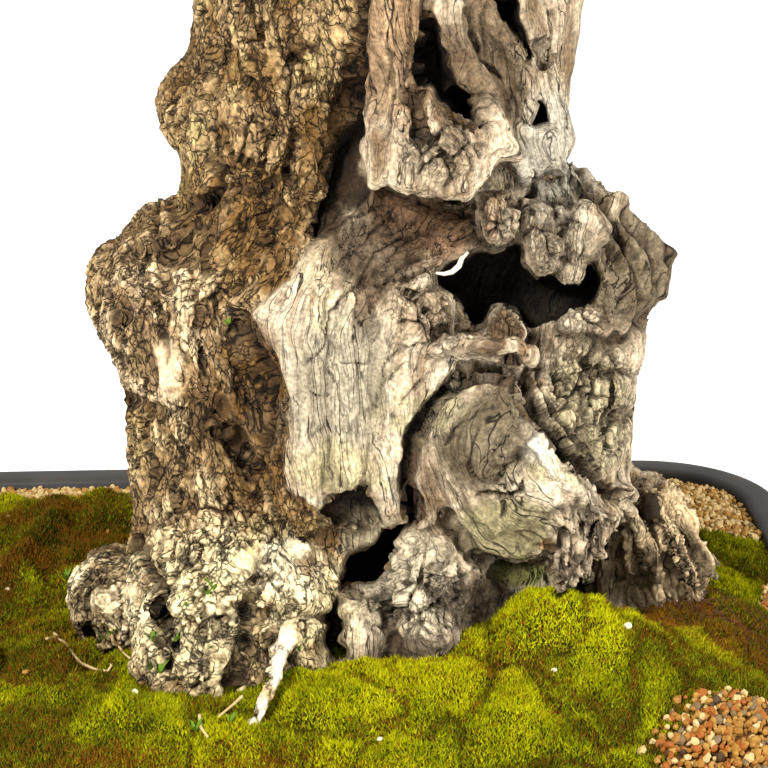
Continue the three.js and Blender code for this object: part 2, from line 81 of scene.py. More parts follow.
def smoothstep(low: float, high: float, value: Array) -> Array:
    """A smooth rise from 0 at low to 1 at high."""
    share = np.clip((value - low) / (high - low), 0.0, 1.0)
    return share * share * (3.0 - 2.0 * share)


def blended(a: Array, b: Array, radius: float) -> Array:
    """A smooth lesser of two distances."""
    overlap = np.maximum(radius - np.abs(a - b), 0.0) / radius
    return np.minimum(a, b) - overlap * overlap * radius / 4.0


def mixed(first: Union[Array, Colour], second: Union[Array, Colour], share: Array) -> Array:
    """A blend of two values: the first where the share is 0, the second where it is 1."""
    return first * (1.0 - share) + second * share


def unit(ways: Array) -> Array:
    """Directions drawn to a length of 1."""
    return ways / np.maximum(np.linalg.norm(ways, axis=-1), TINY)[..., None]


@dataclass(frozen=True)
class Noise:
    """Repeatable noise: how far its bumps or seeds lie apart, which one it is, and how many layers it has."""

    size: float
    seed: int
    layers: int = 1

    @staticmethod
    def lattice(cell: Sequence[Array], seed: int) -> Array:
        """One number from 0 to 1 for each whole-numbered cell.

        Args:
            cell: Cell numbers along x, y and z.
            seed: Which set of numbers.

        Returns:
            The numbers.
        """
        primes = (374761393, 668265263, 2246822519)
        mix = sum(part.astype(np.uint32) * np.uint32(prime) for part, prime in zip(cell, primes))
        mix = mix + np.uint32((seed * 3266489917) & 0xFFFFFFFF)
        for shift, prime in ((15, 2246822519), (13, 3266489917)):
            mix = (mix ^ (mix >> np.uint32(shift))) * np.uint32(prime)
        mix = mix ^ (mix >> np.uint32(16))
        return mix.astype(np.float32) / np.float32(4294967296.0)

    @staticmethod
    def split(points: Array, size: float) -> Box:
        """The cell that each place lies in, and how far into it.

        Args:
            points: Places in the tree's frame.
            size: Side of a cell.

        Returns:
            The cells, and the shares from 0 to 1 in each direction.
        """
        scaled = points / size
        cell = np.floor(scaled).astype(np.int64)
        return cell, (scaled - cell).astype(np.float32)

    def smooth(self, points: Array, layer: int) -> Array:
        """One layer of smooth noise from -1 to 1, each layer half the size of the one before.

        Args:
            points: Places in the tree's frame.
            layer: Number of the layer, from 0.

        Returns:
            One number for each place.
        """
        cell, share = self.split(points, self.size / 2**layer)
        share = share * share * share * (share * (share * 6.0 - 15.0) + 10.0)
        total = np.zeros(len(points), np.float32)
        for corner in product((0, 1), repeat=3):
            x, y, z = (part if step else 1.0 - part for part, step in zip(share.T, corner))
            home = [part + step for part, step in zip(cell.T, corner)]
            total += x * y * z * self.lattice(home, self.seed + 17 * layer)
        return total * 2.0 - 1.0

    def at(self, points: Array) -> Array:
        """Noise at places: smooth, with finer and fainter layers added.

        Args:
            points: Places in the tree's frame.

        Returns:
            One number for each place, from about -1 to 1.
        """
        total = np.zeros(len(points), np.float32)
        for layer in range(self.layers):
            total += 0.5**layer * self.smooth(points, layer)
        return total

    def thrice(self, points: Array) -> Array:
        """Three noises with seeds that follow each other, as a vector for each place."""
        three = [Noise(self.size, self.seed + number, self.layers) for number in range(3)]
        return np.stack([noise.at(points) for noise in three], axis=1)

    def cells(self, points: Array) -> tuple[Array, Array]:
        """Cells about scattered seeds, for plates and the cracks between them.

        Args:
            points: Places, one row each.

        Returns:
            How far each place lies from the gap between two cells, and its cell's own number from 0 to 1.
        """
        cell, share = self.split(points, self.size)
        nearest = np.full(len(points), 9.0, np.float32)
        second = nearest.copy()
        label = np.zeros(len(points), np.float32)
        for corner in product((-1, 0, 1), repeat=3):
            home = [part + step for part, step in zip(cell.T, corner)]
            parts = enumerate(zip(corner, share.T))
            away = sum((step + self.lattice(home, self.seed + n) - part) ** 2 for n, (step, part) in parts)
            closer = away < nearest
            second = np.where(closer, nearest, np.minimum(second, away))
            nearest = np.where(closer, away, nearest)
            label = np.where(closer, self.lattice(home, self.seed + 3), label)
        return np.sqrt(second) - np.sqrt(nearest), label


@dataclass(frozen=True)
class PhotoFrame:
    """The view that the tree was pictured from, which ties pixels to places on the tree."""

    width: float = 768.0
    elevation: float = math.radians(18.0)
    distance: float = 900.0
    aim_height: float = 97.0
    pixel: float = 0.36

    @property
    def per_pixel(self) -> float:
        """Slope of the sight line for each pixel from the middle."""
        return self.pixel / self.distance

    @property
    def lean(self) -> tuple[float, float]:
        """Sine and cosine of the view's elevation."""
        return math.sin(self.elevation), math.cos(self.elevation)

    def project(self, x: Array, y: Array, z: Array) -> Places:
        """Pixel columns, pixel rows and depths of places.

        Args:
            x: How far right.
            y: How far back.
            z: How far up.

        Returns:
            The columns, the rows and the depths.
        """
        sine, cosine = self.lean
        away = self.distance + y * cosine - (z - self.aim_height) * sine
        rise = y * sine + (z - self.aim_height) * cosine
        middle = self.width / 2.0
        return middle + x / away / self.per_pixel, middle - rise / away / self.per_pixel, away

    def place(self, pixel: Pixel, y: float) -> Point:
        """The place that a pixel shows at a given distance behind the trunk's middle.

        Args:
            pixel: Column and row.
            y: Distance away from the viewer, behind the trunk's middle.

        Returns:
            The place in the tree's frame.
        """
        sine, cosine = self.lean
        slope = (self.width / 2.0 - pixel[1]) * self.per_pixel
        rise = (slope * (self.distance + y * cosine) - y * sine) / (cosine + slope * sine)
        away = self.distance + y * cosine - rise * sine
        return ((pixel[0] - self.width / 2.0) * self.per_pixel * away, y, self.aim_height + rise)


PHOTO = PhotoFrame()


@dataclass(frozen=True)
class TreeSeat:
    """Where the tree stands in the shared frame."""

    x: float = 75.0
    y: float = -15.0
    ground: float = 95.0
    turn: float = math.radians(-3.0)

    def to_row(self, points: Array) -> Array:
        """Places in the tree's frame, in millimetres, as places in the shared frame, in metres.

        Args:
            points: Places in the tree's frame.

        Returns:
            The same places in the shared frame.
        """
        cosine, sine = math.cos(self.turn), math.sin(self.turn)
        x = points[:, 0] * cosine - points[:, 1] * sine + self.x
        y = points[:, 0] * sine + points[:, 1] * cosine + self.y
        return np.stack([x, y, points[:, 2] + self.ground], axis=1) * MM

    def to_tree(self, x: Array, y: Array) -> Box:
        """Places in the shared frame, in millimetres, as places in the tree's frame.

        Args:
            x: Places along the shared frame's x.
            y: Places along its y.

        Returns:
            The same places along the tree's x and y.
        """
        cosine, sine = math.cos(self.turn), math.sin(self.turn)
        across, deep = x - self.x, y - self.y
        return across * cosine + deep * sine, deep * cosine - across * sine

    def turned(self, ways: Array) -> Array:
        """Directions in the tree's frame as directions in the shared frame."""
        cosine, sine = math.cos(self.turn), math.sin(self.turn)
        return ways @ np.array([[cosine, sine, 0.0], [-sine, cosine, 0.0], [0.0, 0.0, 1.0]])


SEAT = TreeSeat()


class Form:
    """A solid form, known by its box and by the distance to its surface, negative inside."""

    def box(self) -> Box:
        """Lowest and highest corner."""
        raise NotImplementedError

    def distance(self, places: Places) -> Array:
        """Distance of places to the surface, near enough."""
        raise NotImplementedError


@dataclass(frozen=True)
class Lobe(Form):
    """An egg-shaped form."""

    at: Point
    radii: Point

    def box(self) -> Box:
        """Lowest and highest corner."""
        return np.subtract(self.at, self.radii), np.add(self.at, self.radii)

    def distance(self, places: Places) -> Array:
        """Distance of places to the surface, near enough.

        Args:
            places: X, y and z of the places, in the tree's frame.

        Returns:
            One distance for each place, less than 0 inside.
        """
        parts = [place - middle for place, middle in zip(places, self.at)]
        scaled = np.sqrt(sum((part / radius) ** 2 for part, radius in zip(parts, self.radii)))
        slope = np.sqrt(sum((part / radius**2) ** 2 for part, radius in zip(parts, self.radii)))
        return scaled * (scaled - 1.0) / np.maximum(slope, TINY)


@dataclass(frozen=True)
class Limb(Form):
    """A round limb that tapers from one end to the other."""

    start: Point
    end: Point
    start_radius: float
    end_radius: float

    def box(self) -> Box:
        """Lowest and highest corner.

        Returns:
            The two corners.
        """
        radius = max(self.start_radius, self.end_radius)
        ends = np.array([self.start, self.end])
        return ends.min(axis=0) - radius, ends.max(axis=0) + radius

    def distance(self, places: Places) -> Array:
        """Distance of places to the surface.

        Args:
            places: X, y and z of the places, in the tree's frame.

        Returns:
            One distance for each place, less than 0 inside.
        """
        way = np.subtract(self.end, self.start)
        parts = [place - start for place, start in zip(places, self.start)]
        along = sum(part * step for part, step in zip(parts, way)) / float(way @ way)
        along = np.clip(along, 0.0, 1.0)
        radius = self.start_radius + (self.end_radius - self.start_radius) * along
        return np.sqrt(sum((part - step * along) ** 2 for part, step in zip(parts, way))) - radius


def limbs_along(places: Sequence[Point], radii: Sequence[float]) -> list[Limb]:
    """Limbs that follow each other from place to place."""
    ends = zip(places, places[1:], radii, radii[1:])
    return [Limb(start, end, float(wide), float(thin)) for start, end, wide, thin in ends]


@dataclass(frozen=True)
class Slab(Form):
    """A slab with rounded edges, leaned back by tilt and turned about the vertical, in degrees."""

    at: Point
    half: Point
    round: float
    tilt: float
    turn: float

    def box(self) -> Box:
        """Lowest and highest corner."""
        reach = float(np.linalg.norm(self.half)) + self.round
        return np.subtract(self.at, reach), np.add(self.at, reach)

    def distance(self, places: Places) -> Array:
        """Distance of places to the surface.

        Args:
            places: X, y and z of the places, in the tree's frame.

        Returns:
            One distance for each place, less than 0 inside.
        """
        tilt, turn = math.radians(self.tilt), math.radians(self.turn)
        x, y, z = (place - middle for place, middle in zip(places, self.at))
        across = x * math.cos(turn) + y * math.sin(turn)
        back = -x * math.sin(turn) + y * math.cos(turn)
        lean = back * math.cos(tilt) + z * math.sin(tilt)
        rise = -back * math.sin(tilt) + z * math.cos(tilt)
        over = [np.abs(part) - half for part, half in zip((across, lean, rise), self.half)]
        outside = np.sqrt(sum(np.maximum(part, 0.0) ** 2 for part in over))
        inside = np.minimum(np.maximum(np.maximum(over[0], over[1]), over[2]), 0.0)
        return outside + inside - self.round


def to_line(px: Array, py: Array, start: Pixel, end: Pixel) -> Box:
    """Squared distance of pixels to a straight line, and the share of it at which they come nearest.

    Args:
        px: Pixel columns.
        py: Pixel rows.
        start: Where the line starts.
        end: Where it ends.

    Returns:
        The squared distances and the shares.
    """
    wx, wy = end[0] - start[0], end[1] - start[1]
    dx, dy = px - start[0], py - start[1]
    along = np.clip((dx * wx + dy * wy) / (wx * wx + wy * wy), 0.0, 1.0)
    return (dx - wx * along) ** 2 + (dy - wy * along) ** 2, along


def outline_distance(outline: Path, px: Array, py: Array) -> Array:
    """Distance of pixels to a closed outline, in millimetres at the trunk, negative inside.

    Args:
        outline: Corners in order.
        px: Pixel columns.
        py: Pixel rows.

    Returns:
        One distance for each pixel.
    """
    squared = np.full(np.broadcast(px, py).shape, FAR_AWAY, np.float32)
    inside = np.zeros(squared.shape, bool)
    for start, end in zip(outline, (*outline[1:], outline[0])):
        squared = np.minimum(squared, to_line(px, py, start, end)[0])
        if start[1] != end[1]:
            crosses = (start[1] > py) != (end[1] > py)
            inside ^= crosses & (px < start[0] + (end[0] - start[0]) * (py - start[1]) / (end[1] - start[1]))
    return np.sqrt(squared) * np.where(inside, -PHOTO.pixel, PHOTO.pixel)


def outline_box(outline: Path, front: float, back: float) -> Box:
    """Lowest and highest corner of what an outline in the view holds from one depth to another.

    Args:
        outline: The outline, in pixels.
        front: The nearest depth.
        back: The farthest depth.

    Returns:
        The two corners.
    """
    spans = zip(np.min(outline, axis=0), np.max(outline, axis=0))
    corners = [PHOTO.place(pixel, y) for pixel in product(*spans) for y in (front, back)]
    return np.min(corners, axis=0), np.max(corners, axis=0)


@dataclass(frozen=True)
class Plate(Form):
    """A sheet of wood with the outline that the view shows, standing at a depth and bulging to the viewer."""

    outline: Path
    front: float
    thick: float
    bulge: float = 8.0
    lean: float = 0.0
    wobble: float = 2.0
    edge: float = 4.0

    def box(self) -> Box:
        """Lowest and highest corner."""
        back = self.front + abs(self.bulge) + self.thick + abs(self.lean)
        return outline_box(self.outline, self.front - abs(self.lean), back)

    def distance(self, places: Places) -> Array:
        """Distance of places to the surface, near enough.

        Args:
            places: X, y and z of the places, in the tree's frame.

        Returns:
            One distance for each place, less than 0 inside.
        """
        px, py, _ = PHOTO.project(*places)
        px = px + self.wobble * np.sin(py / 5.3 + px / 13.0) * np.sin(py / 11.0 + 1.3)
        py = py + self.wobble * np.sin(px / 4.7 + 0.6) * np.cos(px / 12.3)
        low, high = np.min(self.outline, axis=0), np.max(self.outline, axis=0)
        middle, half = (low + high) / 2.0, (high - low) / 2.0
        across, down = (px - middle[0]) / half[0], (py - middle[1]) / half[1]
        face = self.front + self.bulge * (across**2 + down**2) / 2.0 + self.lean * down
        sides = np.maximum(face - places[1], places[1] - face - self.thick)
        return -blended(-outline_distance(self.outline, px, py), -sides, self.edge)


@dataclass(frozen=True)
class Opening(Form):
    """A hole with the outline that the view shows, which narrows as it runs back along the line of sight."""

    outline: Path
    front: float
    back: float
    taper: float = 0.12
    wobble: float = 1.5
    soft: float = 6.0
    grow: float = 1.6
    beyond: float = 10.0

    def box(self) -> Box:
        """Lowest and highest corner."""
        return outline_box(self.outline, self.front, self.back + self.beyond)

    def distance(self, places: Places) -> Array:
        """Distance of places to the surface, near enough.

        Args:
            places: X, y and z of the places, in the tree's frame.

        Returns:
            One distance for each place, less than 0 inside.
        """
        px, py, _ = PHOTO.project(*places)
        px = px + self.wobble * np.sin(py / 4.3 + px / 15.0)
        py = py + self.wobble * np.sin(px / 5.1 + 0.9)
        rim = outline_distance(self.outline, px, py)
        rim = rim - self.grow + self.taper * np.maximum(places[1] - self.front, 0.0)
        return -blended(-rim, self.back - places[1], self.soft)


@dataclass(frozen=True)
class Scoop(Form):
    """A round hollow, kept within the outline that the view shows."""

    outline: Path
    round: Lobe
    soft: float = 3.0

    def box(self) -> Box:
        """Lowest and highest corner."""
        return self.round.box()

    def distance(self, places: Places) -> Array:
        """Distance of places to the surface, near enough."""
        px, py, _ = PHOTO.project(*places)
        return -blended(-outline_distance(self.outline, px, py), -self.round.distance(places), self.soft)


class Profile(Enum):
    """How a stroke along the wood changes its surface."""

    CRACK = "a sharp dark split"
    TROUGH = "a soft hollow"
    RIDGE = "a raised fold"


@dataclass(frozen=True)
class Stroke:
    """A crack, trough or ridge along a path of pixels, with its half width in pixels and its depth."""

    profile: Profile
    width: float
    depth: float
    path: Path

    def nearest(self, px: Array, py: Array) -> Box:
        """Distance in pixels from places to the path, and how far from its ends: 0 there, 1 halfway.

        Args:
            px: Pixel columns.
            py: Pixel rows.

        Returns:
            The distances and the shares.
        """
        squared = np.full(len(px), FAR_AWAY, np.float32)
        share = np.zeros(len(px))
        for number, (start, end) in enumerate(zip(self.path, self.path[1:])):
            away, along = to_line(px, py, start, end)
            share = np.where(away < squared, (number + along) / (len(self.path) - 1), share)
            squared = np.minimum(squared, away)
        return np.sqrt(squared), np.sqrt(np.maximum(4.0 * share * (1.0 - share), 0.0))


def crack(width: float, depth: float, *path: Pixel) -> Stroke:
    """A sharp dark split along a path."""
    return Stroke(Profile.CRACK, width, depth, path)


def trough(width: float, depth: float, *path: Pixel) -> Stroke:
    """A soft hollow along a path."""
    return Stroke(Profile.TROUGH, width, depth, path)


def ridge(width: float, depth: float, *path: Pixel) -> Stroke:
    """A raised fold along a path."""
    return Stroke(Profile.RIDGE, width, depth, path)


def whorl(middle: Pixel, inner: float, outer: float, steps: int = 34) -> Path:
    """A wavering spiral about a point, from one radius to another, in pixels.

    Args:
        middle: The point.
        inner: Radius at the start.
        outer: Radius at the end.
        steps: How many points to draw.

    Returns:
        The spiral's points.
    """
    path = []
    for step in range(steps):
        turn = math.radians(200.0 + 26.0 * step)
        radius = inner + (outer - inner) * step / (steps - 1) + 1.5 * math.sin(2.7 * turn)
        path.append((middle[0] + 1.15 * radius * math.cos(turn), middle[1] + radius * math.sin(turn)))
    return tuple(path)


@dataclass(frozen=True)
class Patch:
    """A soft-edged oval: in pixels on the trunk, in millimetres in the tree's frame on the ground."""

    at: Pixel
    radii: Pixel

    def away(self, x: Array, y: Array) -> Array:
        """How far out places lie in the oval: 0 at its middle, 1 on its edge."""
        return np.sqrt(((x - self.at[0]) / self.radii[0]) ** 2 + ((y - self.at[1]) / self.radii[1]) ** 2)

    def share(self, x: Array, y: Array) -> Array:
        """How far places lie in the oval: 1 well inside, 0 outside."""
        return smoothstep(1.15, 0.85, self.away(x, y))

    def fade(self, x: Array, y: Array) -> Array:
        """A share that falls off slowly from 1 in the middle."""
        return smoothstep(1.5, 0.3, self.away(x, y))


@dataclass(frozen=True)
class Wash(Patch):
    """A soft patch of colour, as seen on a screen."""

    colour: Colour
    strength: float = 0.8


TRUNK_FORMS: dict[str, Form] = {
    "heart": Lobe((2, 10, 88), (78, 58, 132)),
    "upper_heart": Lobe((2, 2, 236), (58, 50, 96)),
    "head": Lobe((-2, 2, 296), (50, 44, 46)),
    "bark_column": Limb((-31, -20, 270), (-36, -24, 160), 30, 35),
    "upper_burl": Lobe((-60, -4, 200), (18, 23, 20)),
    "left_burl": Lobe((-68, -14, 134), (34, 40, 34)),
    "left_knob": Lobe((-92, -12, 137), (12, 16, 12)),
    "lower_left": Limb((-60, -28, 104), (-60, -30, 44), 31, 30),
    "root_burl": Lobe((-98, -22, 22), (17, 20, 20)),
    "front_flare": Lobe((-50, -42, 26), (40, 42, 48)),
    "front_toe": Limb((-66, -60, 14), (-32, -76, 8), 21, 15),
    "shield_core": Slab((-9, -52, 112), (18, 6, 34), 13, -4, 6),
    "shield_wing": Lobe((-25, -48, 140), (22, 20, 34)),
    "middle_column": Limb((4, -42, 276), (12, -46, 206), 23, 24),
    "muzzle": Lobe((17, -58, 199), (22, 22, 19)),
    "shell_core": Lobe((42, -44, 86), (32, 27, 34)),
    "front_lump": Lobe((15, -52, 34), (16, 24, 30)),
    "front_lump_top": Lobe((21, -55, 53), (15, 18, 15)),
    "front_lump_left": Lobe((-8, -58, 28), (9, 16, 16)),
    "front_lump_foot": Lobe((34, -48, 18), (20, 20, 22)),
    "cleft_fill": Limb((-15, -30, 290), (-17, -36, 178), 17, 17),
    "right_strand": Limb((54, -6, 262), (51, -8, 194), 16, 12),
    "right_shoulder": Limb((49, -8, 176), (78, -8, 143), 12, 21),
    "right_column": Limb((66, -20, 130), (60, -22, 66), 26, 26),
    "inner_strand": Limb((33, -42, 264), (50, -40, 196), 12, 14),
    "stump": Lobe((96, 8, 26), (21, 21, 34)),
    "stump_spur": Limb((84, 0, 58), (111, 4, 12), 10, 9),
    "back_ridge": Limb((22, 48, 4), (8, 34, 210), 30, 26),
    "back_burl": Lobe((-40, 42, 112), (36, 32, 40)),
    "back_root": Lobe((52, 50, 14), (38, 34, 30)),
    "back_left_root": Lobe((-68, 34, 12), (34, 34, 28)),
    "snag": Limb((26, -10, 306), (50, -16, 352), 15, 6),
}

UNDER_SHELL = Lobe((46, -76, 34), (20, 26, 16))

MOUTH = (
    (440, 275), (463, 266), (478, 256), (510, 250), (516, 248), (526, 271), (533, 281), (553, 281),
    (576, 291), (589, 285), (592, 266), (594, 273), (591, 293), (583, 303), (568, 306), (553, 319),
    (529, 323), (523, 311), (501, 296), (488, 303), (480, 321), (471, 316), (465, 299), (447, 286),
)
SHIELD = (
    (350, 203), (341, 220), (320, 241), (306, 268), (284, 292), (266, 306), (259, 324), (264, 349),
    (271, 357), (284, 382), (291, 402), (288, 440), (287, 476), (295, 495), (308, 491), (321, 510),
    (331, 503), (348, 501), (351, 488), (370, 493), (379, 516), (401, 513), (405, 473), (409, 443),
    (425, 423), (445, 395), (466, 372), (440, 342), (424, 318), (410, 296), (395, 281), (415, 274),
    (441, 269), (474, 260), (481, 240), (478, 216), (470, 200), (447, 199), (430, 195), (412, 190),
    (392, 181), (374, 174),
)
SHELL = (
    (480, 372), (450, 387), (429, 409), (419, 430), (419, 455), (430, 481), (448, 506), (465, 530),
    (488, 552), (513, 564), (540, 556), (560, 546), (576, 524), (584, 510), (606, 512), (596, 494),
    (574, 468), (546, 433), (526, 410), (516, 375),
)
UNDER_SHEET = (
    (300, 496), (346, 498), (378, 506), (406, 510), (402, 517), (385, 536), (365, 553), (350, 561),
    (345, 578), (338, 594), (318, 598), (300, 560),
)
WEDGE = ((580, 508), (614, 513), (614, 536), (600, 556), (566, 593), (551, 599), (545, 583), (566, 540))
CAVE = (
    (412, 516), (393, 525), (384, 535), (373, 548), (350, 563), (343, 581), (361, 579), (376, 573),
    (386, 553), (400, 536),
)
BOWL = (
    (374, 174), (350, 203), (341, 220), (320, 241), (306, 268), (300, 300), (340, 320), (380, 320),
    (395, 283), (415, 274), (441, 269), (474, 262), (481, 240), (478, 216), (470, 197), (458, 193),
    (446, 196), (426, 192), (410, 187), (390, 177),
)
HANGING_KNOB = ((474, 192), (512, 188), (518, 215), (512, 246), (492, 250), (476, 232))
TOOTH = ((520, 200), (552, 205), (560, 250), (548, 282), (533, 281), (524, 262))
RIGHT_TOOTH = ((556, 205), (600, 222), (600, 264), (592, 286), (576, 292), (556, 280))
LOWER_LIP = ((488, 303), (501, 294), (523, 308), (529, 326), (520, 343), (492, 344))
RIGHT_LIP = ((556, 318), (570, 304), (590, 300), (604, 320), (600, 340), (564, 342))
BAND = ((428, 346), (455, 338), (482, 336), (512, 341), (530, 356), (520, 368), (480, 360), (440, 358))

TRUNK_PLATES: dict[str, Plate] = {
    "shield": Plate(SHIELD, -67, 22, bulge=7, lean=-6),
    "under_sheet": Plate(UNDER_SHEET, -61, 14, bulge=4),
    "shell": Plate(SHELL, -76, 22, bulge=16, wobble=1.0, edge=3.0),
    "wedge": Plate(WEDGE, -66, 13, bulge=3, lean=-4),
    "hanging_knob": Plate(HANGING_KNOB, -66, 14, bulge=6),
    "tooth": Plate(TOOTH, -60, 14, bulge=6),
    "right_tooth": Plate(RIGHT_TOOTH, -50, 14, bulge=6),
    "lower_lip": Plate(LOWER_LIP, -68, 14, bulge=6),
    "right_lip": Plate(RIGHT_LIP, -52, 12, bulge=5),
    "band": Plate(BAND, -74, 12, bulge=5),
}

BOWL_SCOOP = Scoop(BOWL, Lobe(PHOTO.place((444, 222), -80), (44, 40, 30)))

ROOT_PATH = ((288, 628), (279, 650), (275, 678), (263, 704), (251, 730))
ROOT_DEPTHS = (-80, -88, -95, -101, -105)
ROOT_RADII = (4.2, 3.2, 2.5, 2.4, 2.4)

ROUGH_PATCHES: dict[str, Patch] = {
    "lump_by_the_bowl": Patch((432, 312), (44, 34)),
    "right_plates": Patch((590, 400), (56, 70)),
    "muzzle": Patch((440, 150), (44, 36)),
    "hanging_knob": Patch((494, 220), (28, 34)),
    "teeth": Patch((550, 240), (40, 44)),
    "lower_lip": Patch((510, 322), (28, 24)),
    "right_lip": Patch((586, 320), (30, 22)),
    "front_lump": Patch((420, 600), (60, 44)),
}

SMOOTH_PATCHES: dict[str, Patch] = {
    "root_top": Patch((286, 638), (12, 16)),
    "root": Patch((277, 668), (10, 26)),
    "root_foot": Patch((262, 706), (11, 18)),
    "root_end": Patch((252, 726), (9, 12)),
    "burl": Patch((166, 366), (14, 30)),
    "burl_whorl": Patch((103, 600), (13, 13)),
    "burl_cream": Patch((130, 592), (10, 12)),
    "toe": Patch((250, 562), (12, 14)),
    "toe_right": Patch((300, 548), (14, 10)),
}

CRAG_PATCHES: dict[str, Patch] = {
    "toe": Patch((226, 648), (106, 70)),
    "root_burl": Patch((96, 632), (46, 26)),
    "lower_left": Patch((180, 560), (60, 50)),
}

SPLINTER_PATCHES: dict[str, Patch] = {
    "wedge": Patch((580, 552), (40, 50)),
    "stump": Patch((668, 552), (62, 76)),
}

BARK_EDGE: Path = (
    (362, -60), (362, 0), (352, 70), (350, 130), (340, 195), (326, 228), (308, 250), (290, 280),
    (254, 310), (258, 349), (271, 362), (286, 400), (284, 490), (296, 500), (322, 514), (346, 520),
    (346, 560), (336, 600), (323, 640), (318, 780),
)

